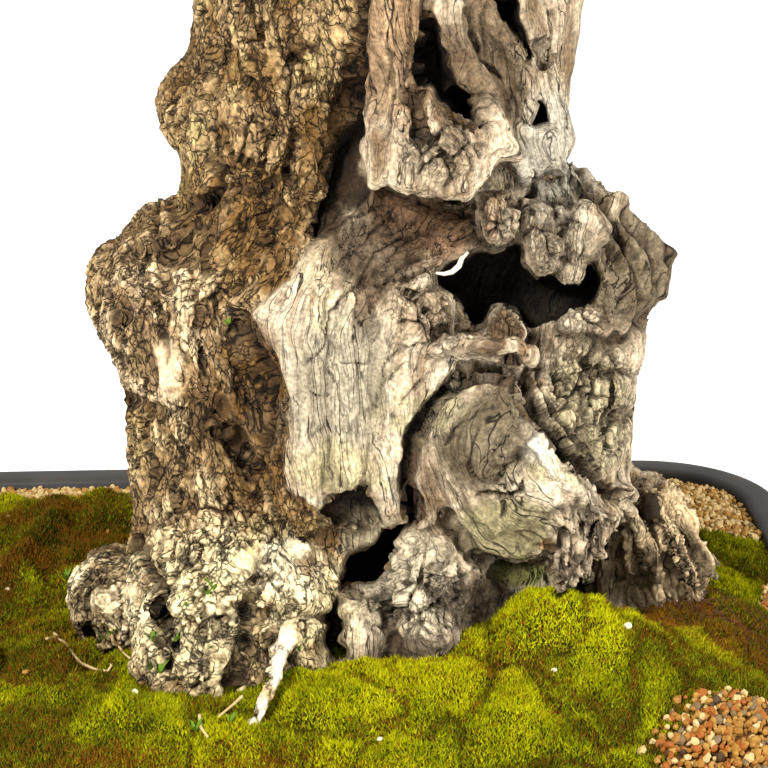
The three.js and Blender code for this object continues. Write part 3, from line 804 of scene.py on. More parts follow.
STROKES: dict[str, tuple[Stroke, ...]] = {
    "cleft": (
        trough(9, 7, (364, -6), (360, 36), (352, 70), (350, 100)),
        trough(8, 9, (351, 95), (349, 130), (342, 175), (335, 205), (322, 230)),
        crack(4, 5, (362, -6), (353, 70), (348, 130), (340, 195), (326, 228)),
        crack(8, 9, (358, 112), (351, 150), (343, 185), (331, 214), (317, 238)),
    ),
    "upper_bark": (
        trough(6, 2.5, (213, 40), (216, 58), (212, 82), (206, 110), (200, 140), (203, 159)),
        crack(3, 3, (239, 30), (242, 81), (236, 100)),
        ridge(6, 3, (244, 33), (246, 70), (262, 80), (279, 93), (287, 116), (287, 146)),
        crack(2.8, 3, (222, -6), (228, 40), (222, 72)),
        crack(2.8, 3, (262, -6), (258, 30), (266, 66)),
        crack(3, 3.5, (272, 98), (275, 126), (266, 160), (250, 190)),
        trough(5, 2.5, (294, 40), (291, 95), (292, 143), (289, 166), (296, 199)),
        crack(3, 3, (294, 40), (291, 95), (292, 143), (289, 166), (296, 199)),
        ridge(7, 3.5, (302, 133), (302, 110), (314, 102), (328, 110), (327, 130)),
        ridge(9, 3, (330, 0), (322, 50), (318, 90), (314, 160), (318, 190)),
    ),
    "swirl": (
        crack(3, 3.5, (226, 92), (214, 108), (212, 134), (217, 160), (236, 184)),
        crack(2.6, 2.6, (232, 108), (224, 130), (230, 154), (246, 164), (258, 150), (258, 126), (246, 110)),
        crack(3, 3, (222, 186), (246, 192), (270, 184), (284, 170)),
        crack(2.8, 3, (270, 176), (256, 206), (262, 236), (240, 262)),
    ),
    "upper_burl": (
        trough(6, 3, (203, 159), (218, 172), (219, 187), (199, 206), (173, 206)),
        crack(3, 3, (203, 159), (218, 172), (219, 187), (199, 206), (173, 206)),
    ),
    "bark_edge": (
        ridge(9, 5, (318, 190), (302, 206), (292, 233), (274, 271), (250, 292), (236, 300)),
        trough(8, 4, (286, 258), (262, 278), (244, 290)),
        trough(10, 3, (236, 316), (248, 340), (262, 366), (272, 400), (272, 440)),
        crack(4, 3, (232, 322), (246, 344), (262, 376), (268, 420), (262, 452)),
    ),
    "left_burl": (
        crack(2.8, 3, (112, 262), (104, 290), (112, 322), (124, 350)),
        crack(2.8, 3, (176, 230), (146, 246), (138, 276), (146, 300)),
        crack(2.8, 3, (206, 300), (196, 336), (206, 372), (198, 404)),
        trough(6, 4, (132, 244), (126, 262), (127, 280), (129, 300), (118, 318)),
        crack(3.5, 3.5, (151, 296), (160, 316), (161, 333), (166, 349), (168, 368)),
        trough(6, 3.5, (186, 226), (166, 246), (158, 270), (166, 290)),
        crack(3, 3, (214, 226), (200, 250), (204, 280), (190, 306)),
    ),
    "flank": (
        crack(2.6, 2.8, (146, 408), (142, 440), (152, 470), (146, 510)),
        crack(2.6, 2.8, (176, 420), (182, 456), (172, 492), (180, 530)),
        trough(8, 4, (122, 400), (150, 410), (184, 414), (214, 424)),
        trough(8, 4, (224, 404), (236, 432), (250, 470)),
        crack(3, 2.5, (196, 452), (206, 490), (202, 530), (190, 570)),
    ),
    "root_burl": (
        trough(7, 6, (126, 540), (141, 556), (157, 578), (163, 602), (160, 636)),
        crack(1.9, 1.3, *whorl((103, 599), 2.0, 14.0)),
        crack(2.8, 2.6, (122, 584), (98, 578), (85, 590), (82, 610), (88, 630), (100, 642)),
        crack(2.4, 2.2, (112, 566), (90, 570), (76, 588), (73, 612)),
    ),
    "toe": (
        crack(4, 4, (194, 600), (204, 620), (202, 650), (196, 680)),
        trough(7, 4, (262, 560), (248, 600), (244, 640), (232, 690)),
        ridge(9, 3, (300, 520), (306, 560), (304, 600), (290, 640)),
        trough(2.2, 2.4, *whorl((208, 668), 4.0, 13.0)),
        trough(5, 4, (236, 610), (262, 618), (292, 614), (322, 620)),
        trough(5, 4, (226, 590), (216, 610), (226, 640), (252, 650)),
        trough(5, 5, (172, 612), (176, 640), (166, 668)),
    ),
    "bowl": (
        ridge(6, 2.5, (372, 176), (352, 205), (344, 224), (324, 243), (308, 270), (286, 294), (264, 314)),
        crack(2.0, 1.6, (400, 205), (372, 210), (360, 214), (340, 222)),
        crack(2.0, 1.6, (420, 222), (392, 218), (376, 232), (350, 254), (330, 276)),
        crack(1.8, 1.4, (436, 236), (420, 232), (400, 248), (372, 276), (352, 300)),
        crack(1.8, 1.4, (452, 250), (424, 254), (400, 266), (380, 290), (368, 318)),
        trough(5, 1.4, (360, 236), (340, 256), (326, 280)),
        crack(3, 3, (376, 286), (391, 279), (404, 275), (424, 270), (441, 269)),
        crack(2.6, 2.6, (389, 284), (416, 294), (431, 316), (437, 333), (462, 340)),
    ),
    "shield": (
        crack(2.2, 2.4, (429, 230), (399, 241), (374, 253), (358, 286), (343, 298), (330, 314),
              (326, 329), (326, 357)),
        crack(2.2, 2.0, (318, 296), (320, 316), (323, 336), (321, 349), (300, 367)),
        crack(2.2, 2.0, (427, 341), (399, 347), (386, 361), (383, 380), (372, 410)),
        crack(2.0, 1.8, (407, 359), (394, 371), (391, 382)),
        crack(2.2, 2.0, (432, 372), (422, 382), (409, 394), (399, 407)),
        crack(2.0, 1.6, (341, 362), (353, 361), (363, 363), (373, 362)),
        crack(2.0, 1.8, (328, 369), (339, 382), (341, 402), (348, 409)),
        crack(2.0, 1.8, (303, 387), (316, 394), (328, 397), (331, 394)),
        ridge(8, 2.2, (310, 300), (302, 340), (308, 390), (304, 440), (308, 484)),
        ridge(7, 2.2, (352, 300), (344, 340), (356, 390), (348, 440), (352, 484)),
        ridge(6, 2.0, (388, 380), (384, 420), (388, 460), (390, 505)),
        trough(6, 2.2, (328, 330), (330, 380), (330, 440), (330, 500)),
        trough(6, 2.2, (372, 330), (374, 400), (370, 450), (366, 490)),
    ),
    "column": (
        trough(6, 5, (428, -6), (427, 40), (424, 80), (414, 96)),
        crack(2.4, 2.4, (392, -6), (388, 40), (392, 90), (386, 140)),
        crack(2.2, 2.0, (410, -6), (408, 40), (402, 84)),
        ridge(7, 2.5, (376, 0), (370, 60), (372, 120), (380, 168)),
        ridge(8, 5, (451, -6), (456, 41), (469, 66), (484, 96), (492, 126), (500, 150)),
        ridge(8, 5, (474, -6), (487, 20), (503, 44), (524, 72), (530, 93), (524, 113)),
        crack(4, 4, (466, 4), (473, 38), (482, 62), (504, 82)),
    ),
    "muzzle": (
        trough(7, 4, (402, 96), (416, 106), (420, 128)),
        trough(8, 5, (424, 136), (440, 146), (450, 164)),
        ridge(8, 4, (383, 172), (410, 182), (426, 188), (446, 191), (462, 190)),
        trough(8, 5, (386, 188), (410, 198), (436, 204), (462, 206)),
    ),
    "cheek": (
        crack(4, 5, (532, 168), (531, 196), (524, 207), (517, 230)),
        ridge(8, 4, (548, 130), (554, 160), (572, 181), (592, 199), (612, 212)),
        ridge(7, 3, (500, 150), (516, 160), (524, 186)),
    ),
    "wing": (
        ridge(7, 4, (571, 200), (593, 225), (606, 243), (624, 268), (629, 299), (624, 330)),
        ridge(5, 3, (588, 203), (612, 227), (637, 253), (645, 272), (642, 300)),
        ridge(5, 3, (604, 205), (629, 228), (652, 243), (663, 263), (659, 293)),
        ridge(4, 2.5, (580, 176), (606, 204), (640, 236), (662, 258)),
        crack(4, 5, (600, 222), (616, 246), (632, 275), (634, 300), (634, 316)),
        crack(3, 3, (612, 216), (634, 240), (652, 262), (652, 290), (644, 318)),
        crack(3, 3, (566, 160), (584, 192), (606, 222), (622, 250), (626, 280), (616, 312)),
        crack(2.6, 2.6, (580, 168), (600, 196), (626, 220), (652, 244), (664, 270), (656, 300)),
        crack(2.6, 2.6, (556, 150), (566, 176), (586, 206), (600, 236), (606, 268)),
        trough(7, 5, (564, 338), (589, 342), (609, 347), (624, 340), (637, 324), (656, 318)),
    ),
    "band": (
        ridge(7, 4, (430, 350), (455, 344), (480, 342), (510, 347), (526, 357)),
        trough(6, 4, (440, 334), (460, 334), (482, 331)),
        trough(7, 6, (476, 369), (500, 371), (520, 376)),
    ),
    "shell": (
        trough(6, 6, (473, 370), (445, 392), (425, 418), (414, 444), (407, 481), (410, 512)),
        crack(4, 5, (473, 370), (445, 392), (422, 423), (413, 444), (407, 481), (410, 512)),
        trough(8, 8, (516, 368), (521, 396), (538, 412), (556, 435), (572, 458), (610, 500)),
        crack(4, 5, (516, 368), (521, 396), (538, 412), (556, 435), (572, 458), (610, 500)),
        crack(2.4, 2.2, (480, 411), (456, 430), (448, 446)),
        crack(2.4, 2.4, (478, 428), (471, 446), (468, 466), (472, 476), (483, 479), (486, 489)),
        ridge(6, 3, (550, 470), (534, 446), (516, 440), (500, 452), (488, 470)),
        trough(6, 3, (540, 470), (524, 456), (508, 464), (498, 480)),
        crack(3.2, 4, (476, 497), (490, 493), (506, 497), (519, 493), (523, 479)),
        crack(2.6, 3, (500, 495), (506, 508), (500, 520)),
        ridge(6, 2.5, (470, 392), (448, 414), (442, 440), (450, 474), (470, 504), (496, 530)),
        ridge(6, 2.0, (496, 396), (474, 410), (462, 436), (460, 462)),
    ),
    "right_plates": (
        crack(3.5, 4, (578, 352), (590, 370), (594, 390), (586, 420)),
        crack(3.5, 4, (612, 350), (612, 391), (606, 420), (612, 460)),
        crack(3, 3, (540, 350), (536, 380), (552, 404), (580, 440), (604, 478)),
        crack(3, 3, (556, 392), (576, 388), (596, 396), (616, 400)),
        trough(6, 4, (614, 418), (626, 420), (640, 412)),
    ),
    "front_lump": (
        trough(4, 5, (391, 556), (392, 584), (388, 612), (394, 644)),
        crack(3, 3, (391, 556), (392, 584), (388, 612), (394, 644)),
        ridge(5, 2.5, (436, 518), (412, 532), (398, 550), (400, 580), (404, 610)),
        trough(7, 3, (446, 552), (434, 566), (432, 580)),
        crack(2.4, 2.4, (424, 560), (418, 586), (424, 616), (416, 640)),
        crack(2.4, 2.4, (442, 566), (448, 590), (440, 614), (446, 640)),
        crack(2.2, 2.2, (460, 560), (464, 580), (458, 606)),
        crack(2.2, 2.2, (408, 556), (406, 584), (412, 606)),
        trough(5, 3, (352, 592), (362, 596)),
        trough(5, 5, (452, 520), (466, 542), (484, 562), (512, 568)),
    ),
    "wedge": (
        crack(2.6, 3, (604, 518), (588, 544), (566, 578), (556, 592)),
        crack(2.4, 2.4, (590, 514), (574, 544), (560, 566)),
    ),
    "stump": (
        ridge(6, 4, (622, 488), (646, 504), (664, 530), (680, 566), (694, 596)),
        ridge(6, 4, (626, 512), (640, 536), (650, 566), (660, 600)),
        crack(3.5, 5, (640, 500), (660, 524), (678, 556), (690, 590)),
        crack(3.5, 5, (618, 500), (630, 530), (640, 566), (646, 606)),
        crack(3, 4, (664, 508), (684, 530), (702, 560), (708, 590)),
    ),
}

GRAIN_GUIDES: dict[str, tuple[Path, ...]] = {
    "above": (
        ((226, -330), (220, -160), (220, -10)),
        ((330, -330), (340, -160), (338, -10)),
        ((450, -330), (450, -160), (450, 0)),
        ((570, -330), (572, -160), (578, 40)),
    ),
    "bark": (
        ((220, -10), (226, 60), (236, 130), (232, 190)),
        ((300, -10), (300, 90), (306, 160), (296, 220), (270, 280)),
        ((338, -10), (330, 90), (332, 180), (310, 230)),
        ((196, 30), (166, 80), (170, 130), (196, 160)),
        ((186, 200), (140, 234), (104, 280), (116, 340), (130, 384)),
        ((240, 220), (190, 256), (176, 310), (190, 370)),
        ((270, 280), (232, 310), (226, 370), (250, 440)),
        ((140, 400), (136, 450), (150, 500), (140, 540)),
        ((200, 400), (210, 470), (200, 540), (180, 620)),
        ((280, 500), (290, 570), (280, 640), (262, 710)),
        ((140, 560), (100, 556), (68, 600), (86, 636)),
    ),
    "shield_and_bowl": (
        ((330, 240), (300, 290), (296, 350), (300, 420), (300, 490)),
        ((400, 240), (356, 280), (334, 330), (336, 400), (334, 480)),
        ((440, 300), (400, 340), (380, 390), (380, 450), (384, 510)),
        ((372, 180), (346, 214), (316, 256), (276, 304)),
        ((450, 200), (400, 226), (366, 256), (340, 296)),
        ((474, 240), (430, 256), (392, 276), (362, 316)),
    ),
    "column_and_wing": (
        ((390, -10), (386, 60), (392, 120), (400, 160)),
        ((450, 0), (462, 50), (490, 110)),
        ((560, 170), (600, 215), (640, 260), (640, 330)),
        ((560, 60), (556, 120), (570, 170)),
        ((580, 60), (582, 120), (600, 190)),
    ),
    "shell": (
        ((500, 380), (450, 410), (434, 450), (450, 500), (500, 550)),
        ((500, 410), (470, 440), (474, 480), (510, 520), (560, 520)),
        ((520, 400), (550, 440), (590, 490)),
    ),
    "foot": (
        ((420, 524), (404, 556), (408, 600), (420, 650)),
        ((440, 522), (456, 560), (452, 600), (440, 650)),
        ((606, 514), (584, 550), (552, 596)),
        ((584, 512), (568, 546), (548, 590)),
        ((614, 524), (600, 556), (572, 596)),
        ((636, 490), (656, 522), (690, 552), (722, 566)),
        ((630, 510), (648, 550), (684, 580), (712, 596)),
        ((622, 500), (630, 540), (632, 580), (630, 620)),
        ((560, 350), (570, 400), (600, 470)),
    ),
}

WASHES: dict[str, Wash] = {
    "shield_white": Wash((340, 384), (62, 90), (142, 132, 110)),
    "recess_shade": Wash((254, 384), (24, 72), (96, 72, 46), 0.75),
    "shield_foot": Wash((336, 470), (46, 34), (178, 164, 122)),
    "bowl_shade": Wash((428, 226), (70, 44), (112, 80, 54), 0.9),
    # Partly the bowl's warm brown, partly painted shadow under the muzzle.
    "bowl_slope_shade": Wash((368, 256), (60, 46), (76, 60, 43), 0.85),
    # Painted shade down the deep cleft.
    "cleft_shade_high": Wash((348, 158), (13, 36), (56, 42, 28), 0.9),
    "cleft_shade_low": Wash((349, 186), (18, 26), (36, 26, 18), 0.97),
    "cleft_shade_foot": Wash((332, 214), (12, 18), (48, 36, 24), 0.95),
    "bowl_rim": Wash((318, 268), (26, 36), (160, 140, 108), 0.6),
    "muzzle": Wash((428, 160), (40, 36), (174, 154, 124)),
    "column": Wash((392, 50), (38, 80), (140, 111, 79)),
    "strands": Wash((480, 60), (50, 70), (102, 84, 62)),
    "teeth": Wash((548, 246), (52, 40), (182, 166, 138), 0.6),
    "cheek": Wash((556, 150), (46, 70), (184, 176, 156)),
    "wing": Wash((632, 270), (46, 70), (92, 79, 58), 0.85),
    "rough_lump": Wash((432, 312), (44, 32), (176, 152, 120)),
    "shell": Wash((486, 440), (62, 62), (82, 70, 50), 0.9),
    "shell_foot": Wash((510, 530), (60, 34), (122, 113, 78), 0.85),
    # A painted highlight on the shell.
    "shell_highlight": Wash((541, 450), (18, 20), (206, 198, 178)),
    "plates": Wash((590, 410), (50, 70), (160, 146, 110)),
    "front_lump": Wash((412, 580), (64, 60), (200, 184, 152)),
    "wedge": Wash((580, 552), (36, 46), (184, 164, 134), 0.95),
    "stump": Wash((668, 552), (62, 72), (206, 178, 134), 0.95),
    "mossy_foot": Wash((522, 574), (30, 16), (120, 126, 46), 0.8),
    "root_cream": Wash((240, 612), (120, 96), (242, 220, 166), 0.85),
    "root_burl": Wash((104, 598), (54, 50), (250, 228, 178), 0.95),
    "pale_root": Wash((278, 660), (13, 34), (236, 222, 190), 0.95),
    "pale_root_foot": Wash((258, 712), (14, 24), (236, 222, 190), 0.95),
    "smooth_patch": Wash((166, 366), (22, 44), (206, 184, 158), 0.85),
    "burl": Wash((156, 310), (76, 104), (236, 206, 160), 0.75),
    "root_white": Wash((288, 562), (40, 36), (222, 208, 172), 0.75),
    # Painted shade under the sheet's hem.
    "under_sheet": Wash((356, 530), (40, 30), (126, 114, 88), 0.85),
    # Painted shade below the shell and along the lump's base, which is also dark brown of itself.
    "lump_foot": Wash((486, 606), (52, 30), (74, 62, 46), 0.85),
    "lump_low_shade": Wash((420, 650), (60, 18), (70, 56, 42), 0.8),
    "tan_knob": Wash((547, 547), (9, 7), (196, 150, 96), 0.8),
    "waist_cream": Wash((172, 480), (60, 80), (216, 188, 140), 0.75),
}

TRUNK_OPENINGS: dict[str, Opening] = {
    "mouth": Opening(MOUTH, -66, -8, taper=0.05, grow=3.4),
    "cave": Opening(CAVE, -60, -12, taper=0.03, soft=4.0, grow=2.2),
    "hem_notch": Opening(((322, 513), (331, 506), (339, 500), (345, 491), (353, 489), (363, 491),
        (371, 499), (377, 510), (384, 520), (372, 526), (352, 523),
        (334, 519)), -84, -57, taper=0.04, wobble=2.2),
    "upper_window": Opening(((484, -6), (493, 20), (506, 38), (522, 61), (531, 51), (519, 25),
        (516, -6)), -60, -16),
    "side_window": Opening(((536, 44), (551, 42), (553, 60), (543, 68)), -54, -18),
    "strand_gap": Opening(((452, 85), (478, 93), (483, 126), (473, 131), (456, 113), (444, 96)), -66, -26),
    "column_gap": Opening(((432, 20), (426, 40), (427, 76), (444, 94), (452, 85), (443, 62),
        (438, 38)), -68, -44),
    "triangle": Opening(((537, 100), (553, 134), (539, 124), (522, 118), (531, 112)), -54, -24),
    "pocket": Opening(((406, 500), (418, 503), (424, 518), (410, 521)), -78, -56),
    "bark_hole": Opening(((219, 432), (232, 427), (246, 446), (250, 464), (240, 460),
        (226, 447)), -66, -50, taper=0.2, wobble=3.5, soft=9.0),
    "rim_hole": Opening(((222, 514), (238, 508), (244, 520), (240, 534), (230, 538),
        (221, 530)), -78, -56, taper=0.2, wobble=3.0, soft=9.0),
    "foot_hollow": Opening(((598, 560), (607, 545), (618, 538), (622, 575), (613, 598),
        (602, 590)), -50, -6, taper=0.04),
    "foot_hole": Opening(((528, 588), (545, 584), (552, 600), (540, 609),
        (529, 605)), -66, -26, taper=0.04),
    "lump_gap": Opening(((327, 602), (333, 593), (338, 600), (342, 618), (338, 640), (346, 654),
        (330, 656), (328, 630)), -92, -46, taper=0.06, wobble=2.5),
    "toe_pit": Opening(((194, 633), (206, 628), (217, 632), (216, 646),
        (203, 651)), -104, -74, taper=0.25, wobble=3.5, soft=8.0),
    "burl_pit": Opening(((151, 600), (160, 594), (165, 608), (163, 626),
        (154, 628)), -90, -44, wobble=3.0, soft=8.0),
    "burl_foot": Opening(((82, 631), (94, 628), (97, 643), (86, 648)), -60, -26, taper=0.08),
    "burl_foot_right": Opening(((108, 646), (122, 643), (135, 648), (130, 660),
        (114, 658)), -80, -44, taper=0.08),
}


class Shade:
    """A material in the making, with short ways to add its nodes."""

    def __init__(self, name: str, roughness: float, shine: float = 0.5) -> None:
        """Starts a material with only its shader.

        Args:
            name: The material's name.
            roughness: The shader's roughness.
            shine: How strongly it mirrors light.
        """
        self.material = bpy.data.materials.new(name)
        self.material.use_nodes = True
        self.nodes = self.material.node_tree.nodes
        self.links = self.material.node_tree.links
        self.shader = self.nodes["Principled BSDF"]
        self.shader.inputs["Roughness"].default_value = roughness
        self.shader.inputs["Specular IOR Level"].default_value = shine

    def feed(self, socket: Socket, value: Value) -> None:
        """Joins an input to another node, or sets it to a value.

        Args:
            socket: The input.
            value: The other node's output, or a constant.
        """
        if isinstance(value, Socket):
            self.links.new(value, socket)
        else:
            socket.default_value = value

    def add(self, kind: str, **inputs: Value) -> bpy.types.Node:
        """A node with its inputs fed.

        Args:
            kind: The node's type.
            **inputs: Values or sockets by input, with underscores for blanks.

        Returns:
            The node.
        """
        node = self.nodes.new(kind)
        for name, value in inputs.items():
            self.feed(node.inputs[name.replace("_", " ")], value)
        return node

    def attribute(self, name: str) -> bpy.types.Node:
        """A node that reads one of the mesh's attributes.

        Args:
            name: The attribute's name.

        Returns:
            The node.
        """
        node = self.nodes.new("ShaderNodeAttribute")
        node.attribute_name = name
        return node

    def place(self) -> Socket:
        """Places in the object's own frame."""
        return self.nodes.new("ShaderNodeTexCoord").outputs["Object"]

    def maths(self, operation: str, first: Value, second: Value = 0.0) -> Socket:
        """A number worked out from one or two others.

        Args:
            operation: What is done with them.
            first: The first number.
            second: The other number.

        Returns:
            The result.
        """
        node = self.nodes.new("ShaderNodeMath")
        node.operation = operation
        for socket, value in zip(node.inputs, (first, second)):
            self.feed(socket, value)
        return node.outputs["Value"]

    def times(self, first: Value, second: Value) -> Socket:
        """The product of two numbers."""
        return self.maths("MULTIPLY", first, second)

    def vectors(self, operation: str, *values: Value) -> Socket:
        """A vector worked out from others, or from one and a number.

        Args:
            operation: What is done with them.
            *values: The vectors and numbers, in order.

        Returns:
            The result.
        """
        node = self.nodes.new("ShaderNodeVectorMath")
        node.operation = operation
        for socket, value in zip([socket for socket in node.inputs if socket.enabled], values):
            self.feed(socket, value)
        return node.outputs["Vector"]

    def noise(self, vector: Socket, scale: float, detail: float = 2.0, output: str = "Fac") -> Socket:
        """Smooth noise, as a number or as a colour."""
        return self.add("ShaderNodeTexNoise", Vector=vector, Scale=scale, Detail=detail).outputs[output]

    def edges(self, vector: Socket, scale: float) -> Socket:
        """Distance to the border between cells.

        Args:
            vector: Where the cells are looked up.
            scale: Cells to a unit of length.

        Returns:
            The distance.
        """
        node = self.add("ShaderNodeTexVoronoi", Vector=vector, Scale=scale)
        node.feature = "DISTANCE_TO_EDGE"
        return node.outputs["Distance"]

    def span(self, value: Socket, low: float, high: float, first: float = 0.0, last: float = 1.0) -> Socket:
        """A number moved from one range to another, and kept within it."""
        ends = {"From_Min": low, "From_Max": high, "To_Min": first, "To_Max": last}
        return self.add("ShaderNodeMapRange", Value=value, **ends).outputs["Result"]

    def ramp(self, value: Socket, low: Colour, high: Colour, start: float, end: float) -> Socket:
        """A colour between two, as seen on a screen, by a number.

        Args:
            value: The number.
            low: The colour at the start.
            high: The colour at the end.
            start: The number that gives the first colour.
            end: The number that gives the other.

        Returns:
            The colour.
        """
        node = self.add("ShaderNodeValToRGB", Fac=value)
        for stop, position, colour in zip(node.color_ramp.elements, (start, end), (low, high)):
            stop.position = position
            stop.color = (*linear(*colour), 1.0)
        return node.outputs["Color"]

    def blend(self, share: Socket, first: Socket, second: Socket) -> Socket:
        """A blend of two colours."""
        return self.add("ShaderNodeMixRGB", Fac=share, Color1=first, Color2=second).outputs["Color"]

    def bump(self, height: Socket, strength: float, distance: float) -> None:
        """Fine relief on the shader."""
        node = self.add("ShaderNodeBump", Height=height, Strength=strength, Distance=distance)
        self.links.new(node.outputs["Normal"], self.shader.inputs["Normal"])

    def paint(self, colour: Value) -> None:
        """The shader's colour."""
        self.feed(self.shader.inputs["Base Color"], colour)


@dataclass(frozen=True)
class PlainFinish:
    """A finish of one plain colour, as seen on a screen."""

    name: str
    colour: Colour
    roughness: float = 0.7
    shine: float = 0.1

    def material(self) -> Finish:
        """The finish as a material.

        Returns:
            The material.
        """
        shade = Shade(self.name, self.roughness, self.shine)
        shade.paint((*linear(*self.colour), 1.0))
        return shade.material


@dataclass(frozen=True)
class TrunkPaint:
    """Colours of the trunk's bark and wood, the painted shade of its hollows and low relief, and its finish.
    """

    bark: Colour = linear(150, 119, 77)
    bark_pale: Colour = linear(204, 174, 124)
    bark_dark: Colour = linear(88, 62, 32)
    wood: Colour = linear(204, 186, 156)
    wood_dark: Colour = linear(126, 100, 70)
    # Also painted over low relief and troughs as shade.
    crack: Colour = linear(42, 30, 20)
    # Painted shade for deep inside the openings.
    hollow: Colour = linear(26, 18, 12)
    algae: Colour = linear(150, 146, 84)
    stain: Colour = linear(132, 92, 34)
    roughness: float = 0.9
    shine: float = 0.15
    grit_scale: float = 900.0
    mottle_scale: float = 380.0
    line_stretch: Point = (1.0, 0.09, 1.0)
    fibre_stretch: Point = (1.0, 0.05, 1.0)
    crust_stretch: Point = (1.0, 0.6, 1.0)
    crack_dark: float = 0.09
    relief: float = 0.0008

    def material(self) -> Finish:
        """The trunk's finish: its painted colours broken up by thin cracks, fibres and grit.

        Returns:
            The material, which reads the mesh's skin, grain and bare attributes.
        """
        shade = Shade("trunk_skin", self.roughness, self.shine)
        painted = shade.attribute("skin")
        grain = shade.attribute("grain").outputs["Vector"]
        bare = shade.attribute("bare").outputs["Fac"]
        grit = shade.noise(shade.place(), self.grit_scale, 4.0)
        drawn = shade.vectors("MULTIPLY", grain, self.line_stretch)
        line = self.thin_lines(shade, drawn, 0.32, 0.030)
        finer = self.thin_lines(shade, drawn, 0.85, 0.036)
        fibre = shade.noise(shade.vectors("MULTIPLY", grain, self.fibre_stretch), 2.6, 3.0)
        wood = shade.maths("MAXIMUM", line, shade.times(finer, 0.5))
        crust = shade.vectors("MULTIPLY", grain, self.crust_stretch)
        plates = self.broken_edges(shade, crust, 0.15, 0.062)
        bark = shade.maths("MAXIMUM", plates, self.broken_edges(shade, crust, 0.36, 0.085))
        bark = shade.maths("MAXIMUM", bark, shade.span(shade.noise(crust, 0.8, 5.0), 0.37, 0.29, 0.0, 0.9))
        cracks = shade.add("ShaderNodeMix", Factor=bare, A=bark, B=wood).outputs["Result"]
        cracks = shade.times(cracks, painted.outputs["Alpha"])
        light = shade.span(grit, 0.3, 0.7, 0.6, 1.32)
        mottle = shade.noise(shade.place(), self.mottle_scale, 5.0)
        light = shade.times(light, shade.span(mottle, 0.32, 0.68, 0.72, 1.26))
        light = shade.times(light, shade.span(fibre, 0.3, 0.7, 0.86, 1.12))
        light = shade.times(light, shade.span(cracks, 0.0, 1.0, 1.0, self.crack_dark))
        shade.paint(shade.vectors("SCALE", painted.outputs["Color"], light))
        shade.bump(shade.maths("SUBTRACT", shade.times(grit, 0.5), cracks), 0.7, self.relief)
        return shade.material

    @staticmethod
    def thin_lines(shade: Shade, grain: Socket, scale: float, width: float) -> Socket:
        """Thin wavering lines along the grain, broken here and there.

        Args:
            shade: The material.
            grain: Places in the grain, drawn out.
            scale: How close the lines lie.
            width: How wide they are.

        Returns:
            1 on a line, 0 off it.
        """
        away = shade.maths("ABSOLUTE", shade.maths("SUBTRACT", shade.noise(grain, scale), 0.5))
        line = shade.span(away, width * 0.25, width, 1.0, 0.0)
        return shade.times(line, shade.span(shade.noise(grain, scale * 0.37), 0.40, 0.54))

    @staticmethod
    def broken_edges(shade: Shade, crust: Socket, scale: float, width: float) -> Socket:
        """Thin cracks between the flakes of the crust, broken here and there.

        Args:
            shade: The material.
            crust: Places in the crust.
            scale: How small the flakes are.
            width: How wide the cracks are.

        Returns:
            1 in a crack, 0 off it.
        """
        wander = shade.noise(crust, scale * 2.2, 3.0, "Color")
        crumpled = shade.vectors("MULTIPLY_ADD", wander, (0.8 / scale,) * 3, crust)
        edge = shade.span(shade.edges(crumpled, scale), width * 0.2, width, 1.0, 0.0)
        return shade.times(edge, shade.span(shade.noise(crust, scale * 0.5), 0.36, 0.48))


def new_piece(name: str, points: Array, faces: list[list[int]], material: Finish) -> Piece:
    """A mesh piece that rides on the plant.

    Args:
        name: The piece's name.
        points: Corners in the tree's frame, in millimetres.
        faces: Corner numbers of each face.
        material: Its finish.

    Returns:
        The piece.
    """
    mesh = bpy.data.meshes.new(name)
    mesh.from_pydata(SEAT.to_row(points), [], faces)
    mesh.update()
    mesh.materials.append(material)
    mesh.shade_smooth()
    piece = bpy.data.objects.new(name, mesh)
    bpy.context.scene.collection.objects.link(piece)
    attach(piece, "root")
    LOG.info("%s: %d corners, %d faces", name, len(points), len(faces))
    return piece


def store(piece: Piece, name: str, values: Array) -> None:
    """Keeps a number, vector or colour for each corner in an attribute of a piece.

    Args:
        piece: The piece.
        name: The attribute's name.
        values: One row for each corner.
    """
    kinds = {1: ("FLOAT", "value"), 3: ("FLOAT_VECTOR", "vector"), 4: ("FLOAT_COLOR", "color")}
    kind, part = kinds[values.size // len(values)]
    attribute = piece.data.attributes.new(name, kind, "POINT")
    attribute.data.foreach_set(part, values.astype(np.float32).ravel())


def compact(faces: Sequence[Sequence[int]]) -> tuple[Array, list[list[int]]]:
    """The corners that faces use, and the faces with only these corners numbered.

    Args:
        faces: The faces, as numbers of corners.

    Returns:
        The corners' old numbers, and the faces.
    """
    used, numbers = np.unique(np.concatenate(faces), return_inverse=True)
    ends = np.cumsum([len(face) for face in faces])[:-1]
    return used, [face.tolist() for face in np.split(numbers, ends)]


def repeated(faces: Array, corners: int, count: int) -> list[list[int]]:
    """The faces of one small shape, repeated for a number of shapes with as many corners each."""
    return (faces + corners * np.arange(count)[:, None, None]).reshape(-1, faces.shape[1]).tolist()


def pieces_by_tone(
    tones: Sequence[PlainFinish], tone: Array, shapes: Array, faces: Array
) -> list[Piece]:
    """Many small shapes as pieces, one for each tone.

    Args:
        tones: The pieces' finishes, which give them their names.
        tone: The number of each shape's finish.
        shapes: Corners of each shape in the tree's frame.
        faces: Faces of one shape.

    Returns:
        The pieces.
    """
    pieces = []
    for number, finish in enumerate(tones):
        chosen = shapes[tone == number]
        joined = repeated(faces, shapes.shape[1], len(chosen))
        pieces.append(new_piece(finish.name, chosen.reshape(-1, 3), joined, finish.material()))
    return pieces


